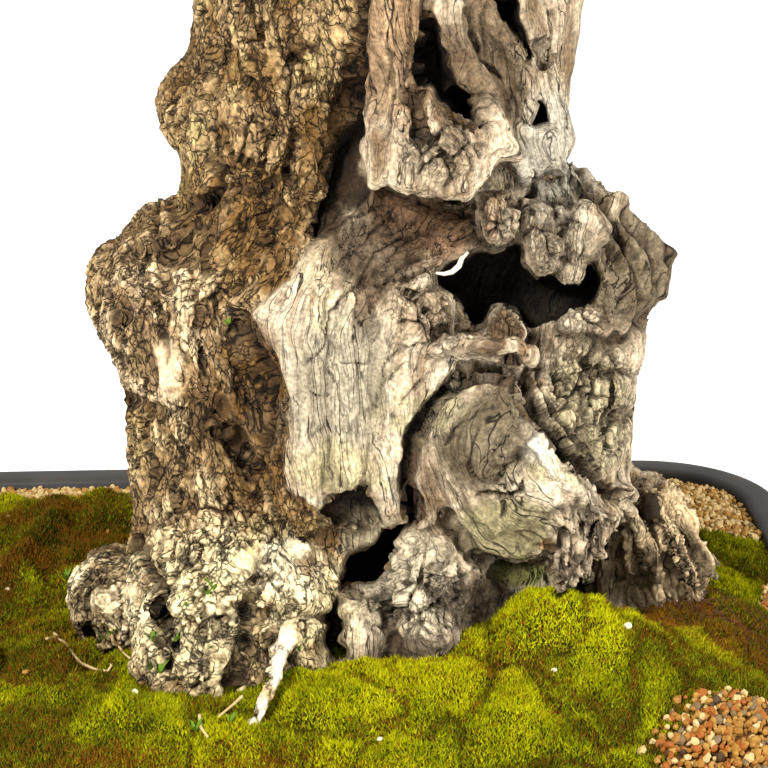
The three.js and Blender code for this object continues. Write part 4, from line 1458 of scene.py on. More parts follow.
@dataclass
class Tubes:
    """Thin tubes that are gathered into one piece."""

    rings: list[Array] = field(default_factory=list)
    faces: list[list[int]] = field(default_factory=list)
    total: int = 0

    def add(self, path: Array, radius: Array, sides: int) -> None:
        """One more tube.

        Args:
            path: Places along its middle.
            radius: The radius at each.
            sides: How many sides it has.
        """
        self.rings.append(self.points(path, radius, sides))
        self.faces += [[corner + self.total for corner in face] for face in self.sides(len(path), sides)]
        self.total += len(path) * sides

    def piece(self, name: str, material: Finish, slot: str) -> Piece:
        """All the tubes as one piece."""
        return new_piece(name, np.concatenate(self.rings), self.faces, material)

    @staticmethod
    def points(path: Array, radius: Array, sides: int) -> Array:
        """Rings of places round a path.

        Args:
            path: Places along the middle.
            radius: The radius at each.
            sides: Places on a ring.

        Returns:
            The rings' places, one ring after the other.
        """
        slant = (0.31, 0.91, 0.27)
        ahead = unit(np.gradient(path, axis=0))
        across = [unit(np.cross(ahead[0], slant))]
        for way in ahead[1:]:
            across.append(unit(across[-1] - way * float(across[-1] @ way)))
        angle = np.linspace(0.0, FULL_TURN, sides, endpoint=False)[None, :, None]
        ring = np.array(across)[:, None] * np.cos(angle)
        ring = ring + np.cross(ahead, across)[:, None] * np.sin(angle)
        return (path[:, None] + ring * radius[:, None, None]).reshape(-1, 3)

    @staticmethod
    def sides(rings: int, sides: int) -> list[list[int]]:
        """Faces of a closed tube of rings.

        Args:
            rings: How many rings.
            sides: How many corners each has.

        Returns:
            The faces, with the two ends last.
        """
        faces = []
        for ring, side in product(range(rings - 1), range(sides)):
            a, b = ring * sides + side, ring * sides + (side + 1) % sides
            faces.append([a, b, b + sides, a + sides])
        faces.append(list(range(sides))[::-1])
        faces.append([(rings - 1) * sides + side for side in range(sides)])
        return faces


@dataclass
class TrunkField:
    """The trunk's solid form as distances on a grid, which forms are joined to and cut from."""

    low: Point = (-130.0, -116.0, -12.0)
    high: Point = (134.0, 104.0, 366.0)
    cell: float = 1.35
    far: float = 40.0
    margin_cells: float = 3.0
    rearmost: float = 40.0
    reaches: tuple[float, ...] = (4.0, 8.0, 15.0, 24.0)
    values: Optional[Array] = None
    axes: list[Array] = field(init=False)

    def __post_init__(self) -> None:
        """Lays out the empty grid."""
        ends = zip(self.low, self.high)
        self.axes = [np.arange(low, high, self.cell, dtype=np.float32) for low, high in ends]
        if self.values is None:
            self.values = np.full([len(axis) for axis in self.axes], self.far, np.float32)

    def window(self, form: Form, blend: float) -> tuple[tuple[slice, ...], Places]:
        """The part of the grid that a form can change.

        Args:
            form: The form.
            blend: How far its blending reaches.

        Returns:
            The grid's slices, and the x, y and z places there.
        """
        margin = blend + self.margin_cells * self.cell
        low, high = form.box()
        ends = zip(self.axes, low - margin, high + margin)
        cuts = tuple(slice(*np.searchsorted(axis, (start, end))) for axis, start, end in ends)
        x, y, z = (axis[cut] for axis, cut in zip(self.axes, cuts))
        return cuts, (x[:, None, None], y[None, :, None], z[None, None, :])

    def add(self, form: Form, blend: float) -> None:
        """Joins a form on."""
        cuts, places = self.window(form, blend)
        self.values[cuts] = blended(self.values[cuts], form.distance(places), blend)

    def carve(self, form: Form, blend: float) -> None:
        """Cuts a form out."""
        cuts, places = self.window(form, blend)
        self.values[cuts] = -blended(-self.values[cuts], form.distance(places), blend)

    def sample(self, points: Array) -> Array:
        """Distances at places, from the nearest grid point.

        Args:
            points: Places in the tree's frame.

        Returns:
            One distance for each place, less than 0 inside.
        """
        spots = np.round((points - np.array(self.low)) / self.cell).astype(int)
        spots = np.clip(spots, 0, np.array(self.values.shape) - 1)
        return self.values[tuple(spots.T)]

    def front(self, pixel: Pixel) -> float:
        """How far away from the viewer the surface lies that a pixel shows.

        Args:
            pixel: The pixel.

        Returns:
            The depth.
        """
        depths = np.arange(self.low[1], self.rearmost, self.cell)
        inside = np.flatnonzero(self.sample(np.array([PHOTO.place(pixel, y) for y in depths])) < 0.0)
        return float(depths[inside[0]]) if len(inside) else 0.0

    def openness(self, points: Array, normals: Array) -> Array:
        """How open the surface lies at places: 1 on a bulge, near 0 deep in a hollow.

        Args:
            points: Places on the surface.
            normals: The surface's directions there.

        Returns:
            One number for each place.
        """
        gaps = [self.sample(points + normals * reach) / reach for reach in self.reaches]
        return sum(np.clip(gap, 0.0, 1.0) for gap in gaps) / len(gaps)

    def skin(self) -> Box:
        """The surface as corners and four-sided faces.

        Returns:
            The corners, in the tree's frame, and the faces.
        """
        grid = openvdb.FloatGrid(background=self.far)
        grid.copyFromArray(self.values)
        points, quads = grid.convertToQuads(isovalue=0.0)
        return points * self.cell + np.array(self.low), quads


@dataclass(frozen=True)
class Splinters:
    """Splinters that lie side by side on the wood, from a first path to a last one, in pixels."""

    first: Path
    last: Path
    count: int
    radius: float
    seed: int
    tip_share: float = 0.4
    sink: float = 0.1
    deepest: float = 26.0

    def limbs(self, solid: TrunkField) -> list[Limb]:
        """The splinters, laid on the surface.

        Args:
            solid: The trunk so far.

        Returns:
            Short limbs that make up the splinters.
        """
        chance = np.random.default_rng(self.seed)
        found = []
        for number in range(self.count):
            share = (number + chance.uniform(-0.35, 0.35)) / (self.count - 1)
            path = mixed(np.array(self.first, float), np.array(self.last, float), share)
            path += chance.normal(0.0, 1.5, path.shape)
            path[-1] += (path[-1] - path[-2]) * chance.uniform(-0.3, 0.12)
            path[0] += (path[1] - path[0]) * chance.uniform(0.0, 0.25)
            radius = self.radius * chance.uniform(0.55, 1.3)
            seen = np.array([solid.front(tuple(pixel)) for pixel in path])
            run = np.arange(len(path))
            slope, start = np.polyfit(run, np.minimum(seen, seen.min() + self.deepest), 1)
            depths = start + slope * run + self.sink * radius
            places = [PHOTO.place(tuple(pixel), depth) for pixel, depth in zip(path, depths)]
            found += limbs_along(places, np.linspace(radius, self.tip_share * radius, len(places)))
        return found


SPLINTERS: dict[str, Splinters] = {
    "wedge": Splinters(
        ((581, 511), (566, 546), (547, 594)), ((615, 516), (605, 550), (590, 582)), 11, 2.1, 3
    ),
    "stump": Splinters(
        ((621, 500), (627, 530), (628, 570), (626, 612)),
        ((642, 487), (664, 505), (690, 536), (718, 566)), 22, 2.6, 5
    ),
    "stump_second": Splinters(
        ((630, 520), (640, 560), (644, 600)), ((660, 512), (690, 542), (716, 580)), 16, 2.0, 9
    ),
    "stump_foot": Splinters(
        ((620, 560), (622, 590), (620, 614)), ((640, 566), (642, 590), (636, 616)), 8, 1.9, 11
    ),
}


@dataclass
class GrainMap:
    """Smooth maps over the view that follow the grain: how far across it and along it a pixel lies."""

    step: float = 8.0
    left: float = -80.0
    top: float = -336.0
    columns: int = 120
    rows: int = 142
    rounds: int = 420
    softness: float = 64.0
    falloff: float = 1.5

    def directions(self) -> Array:
        """The grain's direction at each point of the map, drawn from the guides nearby.

        Returns:
            Unit directions, by row and column.
        """
        rows, columns = np.mgrid[0 : self.rows, 0 : self.columns]
        x, y = self.left + columns * self.step, self.top + rows * self.step
        total = np.zeros(x.shape + (2,))
        for path in (path for group in GRAIN_GUIDES.values() for path in group):
            for start, end in zip(path, path[1:]):
                way = np.subtract(end, start)
                squared, _ = to_line(x, y, start, end)
                weight = 1.0 / (squared + self.softness) ** self.falloff / math.hypot(*way)
                total += weight[..., None] * way
        return unit(total)

    @staticmethod
    def gathered(east: Array, south: Array) -> Array:
        """Sums steps between neighbours back onto the points that they join.

        Args:
            east: Steps to the right.
            south: Steps down.

        Returns:
            The sums, one for each point.
        """
        total = np.zeros((south.shape[0] + 1, east.shape[1] + 1, 2))
        total[:, 1:] += east
        total[:, :-1] -= east
        total[1:] += south
        total[:-1] -= south
        return total

    def solve(self) -> Array:
        """The two maps whose slopes come nearest to the grain's directions.

        Returns:
            Pixels across and along the grain, by row and column.
        """
        way = self.directions()
        east = np.stack([way[..., 1], way[..., 0]], axis=-1) * self.step
        south = np.stack([-way[..., 0], way[..., 1]], axis=-1) * self.step
        left = self.gathered((east[:, 1:] + east[:, :-1]) / 2.0, (south[1:] + south[:-1]) / 2.0)
        maps = np.zeros_like(left)
        search, size = left.copy(), np.sum(left * left, axis=(0, 1))
        for _ in range(self.rounds):
            pulled = self.gathered(np.diff(search, axis=1), np.diff(search, axis=0))
            stride = size / np.maximum(np.sum(search * pulled, axis=(0, 1)), TINY)
            maps += stride * search
            left -= stride * pulled
            fresh = np.sum(left * left, axis=(0, 1))
            search = left + fresh / np.maximum(size, TINY) * search
            size = fresh
        return maps

    def sample(self, px: Array, py: Array) -> Array:
        """Millimetres across and along the grain at pixels.

        Args:
            px: Pixel columns.
            py: Pixel rows.

        Returns:
            Two numbers for each pixel.
        """
        maps = self.solve()
        column = np.clip((px - self.left) / self.step, 0.0, self.columns - 1.01)
        row = np.clip((py - self.top) / self.step, 0.0, self.rows - 1.01)
        left, top = column.astype(int), row.astype(int)
        across, down = (column - left)[:, None], (row - top)[:, None]
        upper = mixed(maps[top, left], maps[top, left + 1], across)
        lower = mixed(maps[top + 1, left], maps[top + 1, left + 1], across)
        return mixed(upper, lower, down) * PHOTO.pixel


@dataclass
class Relief:
    """How the skin varies at each corner: how high it stands, how cracked it is, and its tone."""

    lift: Array
    crack: Array
    tone: Array


@dataclass(frozen=True)
class Scales:
    """Scales with cracks between them: where they lie, and how wide, deep and uneven they are."""

    noise: Noise
    width: float
    depth: float
    level: float
    uneven: float

    def at(self, points: Array, broken: Union[Array, float] = 1.0) -> tuple[Array, Array, Array]:
        """The scales at places.

        Args:
            points: Places, one row each.
            broken: How much of each crack shows.

        Returns:
            How high each place stands, how far it lies from a crack, and its scale's number from 0 to 1.
        """
        gap, label = self.noise.cells(points)
        edge = broken * (smoothstep(0.0, self.width, gap) - self.level)
        return self.depth * edge + self.uneven * (label - 0.5), gap, label


@dataclass(frozen=True)
class Crust:
    """The crust of old bark: plates drawn out along the grain, with flakes and chips on them."""

    crumple: Noise = Noise(2.6, 24)
    broken: Noise = Noise(14.0, 27, 2)
    grit: Noise = Noise(5.5, 51, 2)
    plates: Scales = Scales(Noise(8.0, 31), 0.16, 2.3, 0.85, 1.2)
    flakes: Scales = Scales(Noise(3.6, 41), 0.3, 0.35, 0.8, 0.7)
    chips: Scales = Scales(Noise(2.1, 45), 0.4, 0.15, 0.8, 0.2)
    stretch: Point = (1.0, 0.5, 1.0)
    crag: Noise = Noise(11.0, 151)
    small_crag: Noise = Noise(5.0, 153)

    def relief(self, points: Array, grain: Array) -> Relief:
        """The crust at corners.

        Args:
            points: The corners.
            grain: Where each lies in the grain.

        Returns:
            The crust's relief.
        """
        crumple = self.crumple.thrice(points)
        place = (grain + crumple * 1.3) * np.array(self.stretch)
        broken = smoothstep(-0.3, 0.3, self.broken.at(points))
        lift, gap, label = self.plates.at(place, broken)
        flake_lift, flake_gap, flake = self.flakes.at(place)
        chip_lift, _, chip = self.chips.at(grain + crumple * 0.8)
        lift = lift + flake_lift + chip_lift + 0.5 * self.grit.at(points)
        cracks = (
            broken * smoothstep(0.15, 0.03, gap),
            0.6 * smoothstep(0.14, 0.03, flake_gap),
            0.9 * smoothstep(0.12, 0.05, chip),
        )
        tone = (label - 0.5) + 0.7 * (flake - 0.5) + 0.6 * (chip - 0.5)
        return Relief(lift, np.maximum.reduce(cracks), tone)

    def add_crags(self, bark: Relief, points: Array, craggy: Array) -> None:
        """Raises knobs with dark gaps between them where the bark is craggy.

        Args:
            bark: Relief to add to.
            points: Places in the tree's frame.
            craggy: How craggy each place is, from 0 to 1.
        """
        knobs = np.abs(self.crag.at(points)) + 0.5 * np.abs(self.small_crag.at(points))
        bark.lift = bark.lift + craggy * (2.6 * knobs - 1.2)
        bark.crack = np.maximum(bark.crack, 0.8 * craggy * smoothstep(0.22, 0.04, knobs))


@dataclass(frozen=True)
class Fibres:
    """The fibres of bare wood, with splits along them, splinters and rough slabs."""

    fine: Noise = Noise(1.4, 61)
    narrow: Noise = Noise(3.0, 66)
    broad: Noise = Noise(7.5, 71)
    some: Noise = Noise(14.0, 73, 2)
    split: Noise = Noise(4.4, 75)
    swell: Noise = Noise(12.0, 81, 3)
    bend: Noise = Noise(6.0, 97)
    slabs: Scales = Scales(Noise(11.0, 99), 0.16, 3.0, 0.85, 2.4)
    stretch: Point = (1.0, 0.11, 1.0)
    short_stretch: Point = (1.0, 0.4, 1.0)
    contrast: float = 2.2

    def relief(self, points: Array, grain: Array, splintered: Array, rough: Array, crust: Relief) -> Relief:
        """The wood at corners.

        Args:
            points: The corners.
            grain: Where each lies in the grain.
            splintered: How far each lies in a splintered patch.
            rough: How far each lies in a rough patch.
            crust: The bark's relief, which the rough patches share.

        Returns:
            The wood's relief.
        """
        drawn = grain * np.array(self.stretch)
        noises = (self.fine, self.narrow, self.broad)
        fine, narrow, broad = (noise.at(drawn) * self.contrast for noise in noises)
        some = smoothstep(0.0, 0.6, self.some.at(grain * np.array(self.short_stretch)))
        split = smoothstep(0.26, 0.05, np.abs(self.split.at(drawn) * self.contrast)) * some
        lift = 0.13 * fine + 0.22 * narrow + 0.34 * broad - split + 0.9 * self.swell.at(points)
        crests = 0.8 - 1.3 * np.abs(broad) + (1.0 - 1.8 * np.abs(narrow)) + 0.5 * (1.0 - 2.0 * np.abs(fine))
        lift += splintered * (1.5 * crests - split)
        slabs, gap, _ = self.slabs.at(points + 2.0 * self.bend.at(points)[:, None])
        lift = lift * (1.0 - 0.4 * rough) + rough * (0.8 * crust.lift + slabs)
        cracks = (
            0.7 * split,
            rough * np.maximum(0.6 * crust.crack, smoothstep(0.1, 0.02, gap)),
            0.95 * splintered * smoothstep(0.7, -0.5, crests),
        )
        return Relief(lift, np.maximum.reduce(cracks), 0.2 * fine + 0.24 * narrow + 0.3 * broad)


@dataclass
class Surface:
    """What is known of each of the trunk's corners."""

    px: Array
    py: Array
    seen: Array
    crack: Array
    bare: Array
    depth: Array
    open: Array
    grain: Array
    rough: Array
    calm: Array
    tone: Array
    low: Array


@dataclass
class Trunk:
    """The trunk: bark on the left, bare wood in the middle and on the right."""

    blend: float = 9.0
    hollow_blend: float = 5.0
    plate_blend: float = 3.5
    splinter_blend: float = 1.2
    opening_blend: float = 2.5
    foot: float = -7.0
    axis: Pair = (4.0, -6.0)
    girth: float = 70.0
    view_step: float = 3.0
    view_start: tuple[int, int] = (40, 120)
    view_size: tuple[int, int] = (336, 456)
    view_depth: float = 7.0
    view_slant: float = 0.08
    view_top: float = -60.0
    deadwood_column: float = 470.0
    far_middle: float = 6.0
    bare_side: float = -10.0
    bare_half: float = 62.0
    wander: tuple[Noise, ...] = (Noise(7.0, 5), Noise(2.6, 7), Noise(7.0, 6), Noise(2.6, 8))
    bark_edge: Noise = Noise(16.0, 9, 3)
    ragged: Noise = Noise(15.0, 67, 2)
    lumps: Noise = Noise(20.0, 91, 3)
    patch: Noise = Noise(22.0, 101, 4)
    fleck: Noise = Noise(5.0, 111, 3)
    grain_drift: tuple[Noise, ...] = (Noise(20.0, 141, 2), Noise(6.5, 145), Noise(16.0, 147, 2))
    crust: Crust = Crust()
    fibres: Fibres = Fibres()
    paint: TrunkPaint = TrunkPaint()
    solid: TrunkField = field(default_factory=TrunkField)
    whole: Optional[TrunkField] = None
    points: Optional[Array] = None
    normals: Optional[Array] = None

    def shape(self) -> Box:
        """Joins and cuts the trunk's forms.

        Returns:
            Corners and four-sided faces of the plain trunk.
        """
        solid = self.solid
        for form in TRUNK_FORMS.values():
            solid.add(form, self.blend)
        solid.carve(UNDER_SHELL, self.hollow_blend)
        for plate in TRUNK_PLATES.values():
            solid.add(plate, self.plate_blend)
        solid.carve(BOWL_SCOOP, self.hollow_blend)
        root = [PHOTO.place(pixel, depth) for pixel, depth in zip(ROOT_PATH, ROOT_DEPTHS)]
        for limb in limbs_along(root, ROOT_RADII):
            solid.add(limb, self.splinter_blend)
        for splinters in SPLINTERS.values():
            for limb in splinters.limbs(solid):
                solid.add(limb, self.splinter_blend)
        self.whole = TrunkField(values=solid.values.copy())
        for opening in TRUNK_OPENINGS.values():
            solid.carve(opening, self.opening_blend)
        solid.values = np.maximum(solid.values, self.foot - solid.axes[2])
        return solid.skin()

    def visible(self) -> Array:
        """Which corners the view shows.

        Returns:
            True for each corner that is seen.
        """
        px, py, away = PHOTO.project(*self.points.T)
        spots = [
            np.clip((pixel / self.view_step).astype(int) + start, 0, size - 1)
            for pixel, start, size in zip((px, py), self.view_start, self.view_size)
        ]
        nearest = np.full(self.view_size, FAR_AWAY)
        np.minimum.at(nearest, tuple(spots), away)
        sine, cosine = PHOTO.lean
        facing = self.normals @ np.array([0.0, -cosine, sine])
        in_front = away < nearest[tuple(spots)] + self.view_depth
        return in_front & (facing > self.view_slant) & (py > self.view_top)

    def refresh(self, mesh: bpy.types.Mesh) -> None:
        """Writes the corners to the mesh and reads its normals back.

        Args:
            mesh: The trunk's mesh.
        """
        mesh.vertices.foreach_set("co", self.points.astype(np.float32).ravel())
        mesh.update()
        found = np.zeros(len(self.points) * 3, np.float32)
        mesh.vertex_normals.foreach_get("vector", found)
        self.normals = found.reshape(-1, 3)

    def raise_skin(self, mesh: bpy.types.Mesh, lift: Array) -> None:
        """Moves the corners out along their normals."""
        self.points += self.normals * lift[:, None]
        self.refresh(mesh)

    def finer_front(self, mesh: bpy.types.Mesh) -> None:
        """Subdivides the faces that the view shows.

        Args:
            mesh: The trunk's mesh.
        """
        piece = bpy.data.objects.new("trunk_start", mesh)
        bpy.context.scene.collection.objects.link(piece)
        bpy.ops.object.select_all(action="DESELECT")
        bpy.context.view_layer.objects.active = piece
        piece.select_set(True)
        corners = np.zeros(len(mesh.polygons) * 4, np.int32)
        mesh.polygons.foreach_get("vertices", corners)
        chosen = self.visible()[corners.reshape(-1, 4)].any(axis=1)
        bpy.ops.object.mode_set(mode="EDIT")
        bpy.ops.mesh.select_mode(type="FACE")
        bpy.ops.mesh.select_all(action="DESELECT")
        bpy.ops.object.mode_set(mode="OBJECT")
        mesh.polygons.foreach_set("select", chosen)
        bpy.ops.object.mode_set(mode="EDIT")
        bpy.ops.mesh.subdivide(number_cuts=1)
        bpy.ops.object.mode_set(mode="OBJECT")
        found = np.zeros(len(mesh.vertices) * 3, np.float32)
        mesh.vertices.foreach_get("co", found)
        self.points = found.reshape(-1, 3).astype(np.float64)
        bpy.data.objects.remove(piece)

    def grain(self, px: Array, py: Array, seen: Array) -> Array:
        """Where each corner lies in the grain.

        Args:
            px: Pixel columns.
            py: Pixel rows.
            seen: Which corners the view shows.

        Returns:
            Millimetres across, along and under the grain for each corner.
        """
        x, y, z = self.points.T
        out_x, out_y = x - self.axis[0], y - self.axis[1]
        front = np.stack([*GrainMap().sample(px, py).T, y], axis=1)
        around = np.stack([np.arctan2(out_x, out_y) * self.girth, -z, np.hypot(out_x, out_y)], axis=1)
        grain = np.where(seen[:, None], front, around)
        broad, small, along = (noise.at(self.points) for noise in self.grain_drift)
        grain[:, 0] += 2.6 * broad + 0.9 * small
        grain[:, 1] += 3.0 * along
        return grain

    def press(self, px: Array, py: Array, seen: Array) -> tuple[Array, Array]:
        """How the strokes change the surface.

        Args:
            px: Pixel columns.
            py: Pixel rows.
            seen: Which corners the view shows.

        Returns:
            How far each corner is raised, and how cracked it is, from 0 to 1.
        """
        broad, small, broad_down, small_down = (noise.at(self.points) for noise in self.wander)
        column, row = px + (broad * 2.8 + small * 1.3), py + (broad_down * 2.8 + small_down * 1.3)
        lift, cracked = np.zeros(len(px)), np.zeros(len(px))
        picked = np.flatnonzero(seen)
        for stroke in (stroke for group in STROKES.values() for stroke in group):
            reach = stroke.width * 2.5 + 4.0
            low, high = np.min(stroke.path, axis=0) - reach, np.max(stroke.path, axis=0) + reach
            near_x = (px[picked] > low[0]) & (px[picked] < high[0])
            near = picked[near_x & (py[picked] > low[1]) & (py[picked] < high[1])]
            away, inner = stroke.nearest(column[near], row[near])
            away = away / stroke.width
            swell = stroke.depth * np.exp(-(away**2))
            if stroke.profile is Profile.RIDGE:
                lift[near] += swell
            elif stroke.profile is Profile.TROUGH:
                lift[near] -= swell
                # Troughs are darkened with painted shade, which the crack colour carries.
                shade = 0.4 * np.exp(-(away**2)) * min(stroke.depth / 6.0, 1.5)
                cracked[near] = np.maximum(cracked[near], shade)
            else:
                away = away / (0.25 + 0.55 * inner)
                lift[near] -= 0.8 * stroke.depth * inner * np.exp(-2.0 * away**2)
                shade = np.exp(-2.2 * away**2) * smoothstep(0.0, 0.4, inner)
                cracked[near] = np.maximum(cracked[near], shade)
        return lift, cracked

    def bareness(self, px: Array, py: Array, seen: Array) -> Array:
        """How bare of bark each corner is, from 0 to 1.

        Args:
            px: Pixel columns.
            py: Pixel rows.
            seen: Which corners the view shows.

        Returns:
            One share for each corner.
        """
        columns, rows = np.transpose(BARK_EDGE)
        right = np.where(px > np.interp(py, rows, columns), 1.0, -1.0)
        signed = crack(1.0, 1.0, *BARK_EDGE).nearest(px, py)[0] * right
        ragged = self.bark_edge.at(self.points) * 5.0
        x, y = self.points[:, 0] - self.axis[0], self.points[:, 1] - self.axis[1]
        aside = np.abs(np.degrees(np.arctan2(y, x)) - self.bare_side)
        behind = smoothstep(-6.0, 6.0, self.bare_half - aside + ragged * 3.0)
        return np.where(seen, smoothstep(-4.0, 4.0, signed + ragged), behind)

    def sculpt(self, mesh: bpy.types.Mesh) -> Surface:
        """Presses the strokes into the surface and gives it the relief of bark and wood.

        Args:
            mesh: The trunk's mesh.

        Returns:
            What the finish needs to know of each corner.
        """
        self.refresh(mesh)
        seen = self.visible()
        px, py, _ = PHOTO.project(*self.points.T)
        lift, cracked = self.press(px, py, seen)
        self.raise_skin(mesh, lift)
        bare = self.bareness(px, py, seen)
        depth = -self.whole.sample(self.points)
        open_share = self.solid.openness(self.points, self.normals)
        grain = self.grain(px, py, seen)
        kinds = (CRAG_PATCHES, SPLINTER_PATCHES, ROUGH_PATCHES, SMOOTH_PATCHES)
        craggy, splintered, rough, calm = (self.within(px, py, patches) * seen for patches in kinds)
        bark = self.crust.relief(self.points, grain)
        wood = self.fibres.relief(self.points, grain, splintered, rough, bark)
        self.crust.add_crags(bark, self.points, craggy)
        lumps = (1.7 * self.lumps.at(self.points) - 0.6) * (1.0 - 0.7 * splintered)
        relief = (lumps * (1.0 - 0.6 * bare) + mixed(bark.lift, wood.lift, bare)) * (1.0 - 0.85 * calm)
        fade = smoothstep(self.foot, self.foot + 3.0, self.points[:, 2]) * smoothstep(12.0, 4.0, depth)
        self.raise_skin(mesh, relief * fade)
        bark_crack = bark.crack * (1.0 - 0.9 * calm) * (1.0 - bare)
        cracked = np.maximum.reduce((cracked, bark_crack, wood.crack * bare))
        tone = mixed(bark.tone * (1.0 - 0.7 * calm), wood.tone, bare)
        # How low the relief lies, which the colours darken as painted shade.
        low = np.clip(-relief / 2.5, 0.0, 1.0)
        return Surface(px, py, seen, cracked, bare, depth, open_share, grain, rough, calm, tone, low)

    def within(self, px: Array, py: Array, patches: dict[str, Patch]) -> Array:
        """How far each pixel lies in any of some round patches, from 0 to 1.

        Args:
            px: Pixel columns.
            py: Pixel rows.
            patches: The patches by name.

        Returns:
            One share for each pixel.
        """
        ragged = 0.35 * self.ragged.at(np.stack([px, py, np.zeros(len(px))], axis=1))
        away = [patch.away(px, py) for patch in patches.values()]
        return smoothstep(1.4, 0.45, np.minimum.reduce(away) + ragged)

    def colours(self, surface: Surface) -> Array:
        """Colour of each corner, with painted shade in its hollows, clefts, troughs and low relief, and a
        painted highlight on the shell.

        Args:
            surface: What sculpt returned.

        Returns:
            Linear colours, and in place of alpha how much the thin cracks show.
        """
        paint = self.paint
        bare, tone = surface.bare[:, None], surface.tone[:, None]
        patch, fleck = self.patch.at(self.points)[:, None], self.fleck.at(self.points)[:, None]
        share = smoothstep(-0.8, 1.0, tone * 0.7 + patch * 0.7 + fleck * 0.3)
        bark = 0.5 * mixed(paint.bark_dark, paint.bark_pale, share)
        bark = bark + paint.bark * (0.4 + 0.2 * share)
        wood = mixed(paint.wood_dark, paint.wood, smoothstep(-1.0, 0.9, tone * 0.9 + patch * 0.5))
        skin = mixed(bark, wood, bare)
        skin = mixed(skin, paint.algae, 0.35 * smoothstep(0.45, 1.1, patch + fleck * 0.4))
        shade = 0.7 + 0.5 * smoothstep(-1.1, 1.1, tone)
        for wash in WASHES.values():
            away = wash.away(surface.px, surface.py)[:, None] + 0.16 * patch + 0.1 * fleck
            share = smoothstep(1.2, 0.6, away) * wash.strength * surface.seen[:, None]
            skin = mixed(skin, linear(*wash.colour) * shade, share)
        skin = mixed(skin, paint.stain, 0.6 * smoothstep(0.1, 0.6, surface.low)[:, None] * (1.0 - bare))
        # Painted shade: the less open the surface, the more it is darkened towards dark bark.
        painted_shade = 1.0 - smoothstep(0.12, 0.7, surface.open)[:, None]
        skin = mixed(skin, np.multiply(0.35, paint.bark_dark), 0.6 * painted_shade)
        # Painted shade: deep inside the openings the colour goes almost to black.
        skin = mixed(skin, paint.hollow, 0.96 * smoothstep(1.5, 9.0, surface.depth)[:, None])
        # The crack colour also paints shade over low relief and along the troughs.
        cracked = np.clip(np.maximum(surface.crack, 0.6 * surface.low), 0.0, 1.0)[:, None]
        skin = mixed(skin, paint.crack, 0.85 * cracked)
        return np.concatenate([np.clip(skin, 0.0, 1.0), 1.0 - 0.9 * surface.calm[:, None]], axis=1)

    def build(self) -> None:
        """Makes the trunk's pieces."""
        points, quads = self.shape()
        mesh = bpy.data.meshes.new("trunk_start")
        mesh.from_pydata(points, [], quads.tolist())
        self.points = np.array(points, np.float64)
        self.refresh(mesh)
        middle = np.array([0.0, 0.0, 150.0])
        if float(np.mean(np.sum(self.normals * (self.points - middle), axis=1))) < 0.0:
            mesh.flip_normals()
            self.refresh(mesh)
        self.finer_front(mesh)
        self.dress(mesh, self.sculpt(mesh))
        bpy.data.meshes.remove(mesh)

    def dress(self, mesh: bpy.types.Mesh, surface: Surface) -> None:
        """Parts the trunk into pieces with their finish: bark, bare wood and the far side.

        Args:
            mesh: The whole trunk.
            surface: What sculpt returned.
        """
        material = self.paint.material()
        values = {
            "skin": self.colours(surface),
            "grain": surface.grain,
            "bare": surface.bare * (1.0 - 0.7 * surface.rough),
        }
        starts = np.zeros(len(mesh.polygons), np.int32)
        mesh.polygons.foreach_get("loop_start", starts)
        corners = np.zeros(len(mesh.loops), np.int32)
        mesh.loops.foreach_get("vertex_index", corners)
        faces = np.split(corners, starts[1:])
        first = corners[starts]
        seen, bare = surface.seen[first], surface.bare[first] > 0.5
        left = self.points[first, 0] < self.far_middle
        right = surface.px[first] > self.deadwood_column
        pieces = {
            "trunk_bark": seen & ~bare,
            "trunk_heartwood": seen & bare & ~right,
            "trunk_deadwood": seen & bare & right,
            "trunk_far_left": ~seen & left,
            "trunk_far_right": ~seen & ~left,
        }
        normals = SEAT.turned(self.normals)
        for name, chosen in pieces.items():
            used, kept = compact([faces[number] for number in np.flatnonzero(chosen)])
            piece = new_piece(name, self.points[used], kept, material)
            for kind, value in values.items():
                store(piece, kind, value[used])
            piece.data.normals_split_custom_set_from_vertices(normals[used])
            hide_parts("trunk")


GRAVEL_BEDS: dict[str, Patch] = {
    "back_right": Patch((140, 152), (62, 50)),
    "right": Patch((160, 34), (15, 26)),
    "front_right": Patch((142, -116), (52, 40)),
    "front_left": Patch((-236, -96), (70, 34)),
    "back_left": Patch((-150, 150), (60, 24)),
}

MOSS_MOUNDS: dict[str, tuple[Patch, float]] = {
    "under_the_wedge": (Patch((62, -58), (36, 20)), 27.0),
    "before_the_lump": (Patch((2, -76), (48, 20)), 5.0),
    "slope": (Patch((20, -100), (110, 50)), 12.0),
    "left_back": (Patch((-150, 60), (60, 50)), 8.0),
    "right": (Patch((112, -44), (36, 26)), 7.0),
    "before_the_stump": (Patch((112, -10), (30, 20)), 9.0),
    "far_left": (Patch((-240, 20), (60, 70)), 8.0),
    "left_front": (Patch((-130, -110), (50, 40)), 6.0),
}

MOSS_FOLDS: dict[str, Stroke] = {
    "far": ridge(8, 5, (-30, 556), (0, 540), (24, 526), (56, 519), (104, 507), (140, 500)),
    "near": ridge(8, 6, (0, 590), (28, 566), (50, 542), (74, 530), (112, 525), (140, 522)),
    "cushion": ridge(9, 5, (-30, 590), (-10, 582), (12, 580), (32, 588), (40, 604)),
    "front_left": ridge(9, 4, (-20, 660), (20, 652), (60, 668), (80, 690)),
}

RUSTY_PATCHES: dict[str, tuple[Patch, float]] = {
    "by_the_stump": (Patch((116, -24), (44, 36)), 0.6),
    "left_back": (Patch((-150, 50), (70, 60)), 0.55),
    "left": (Patch((-130, -30), (40, 50)), 0.35),
    "front": (Patch((-60, -126), (60, 14)), 0.5),
    "by_the_lump": (Patch((24, -76), (30, 12)), 0.6),
}

BRIGHT_MOSS = Patch((30, -112), (120, 44))

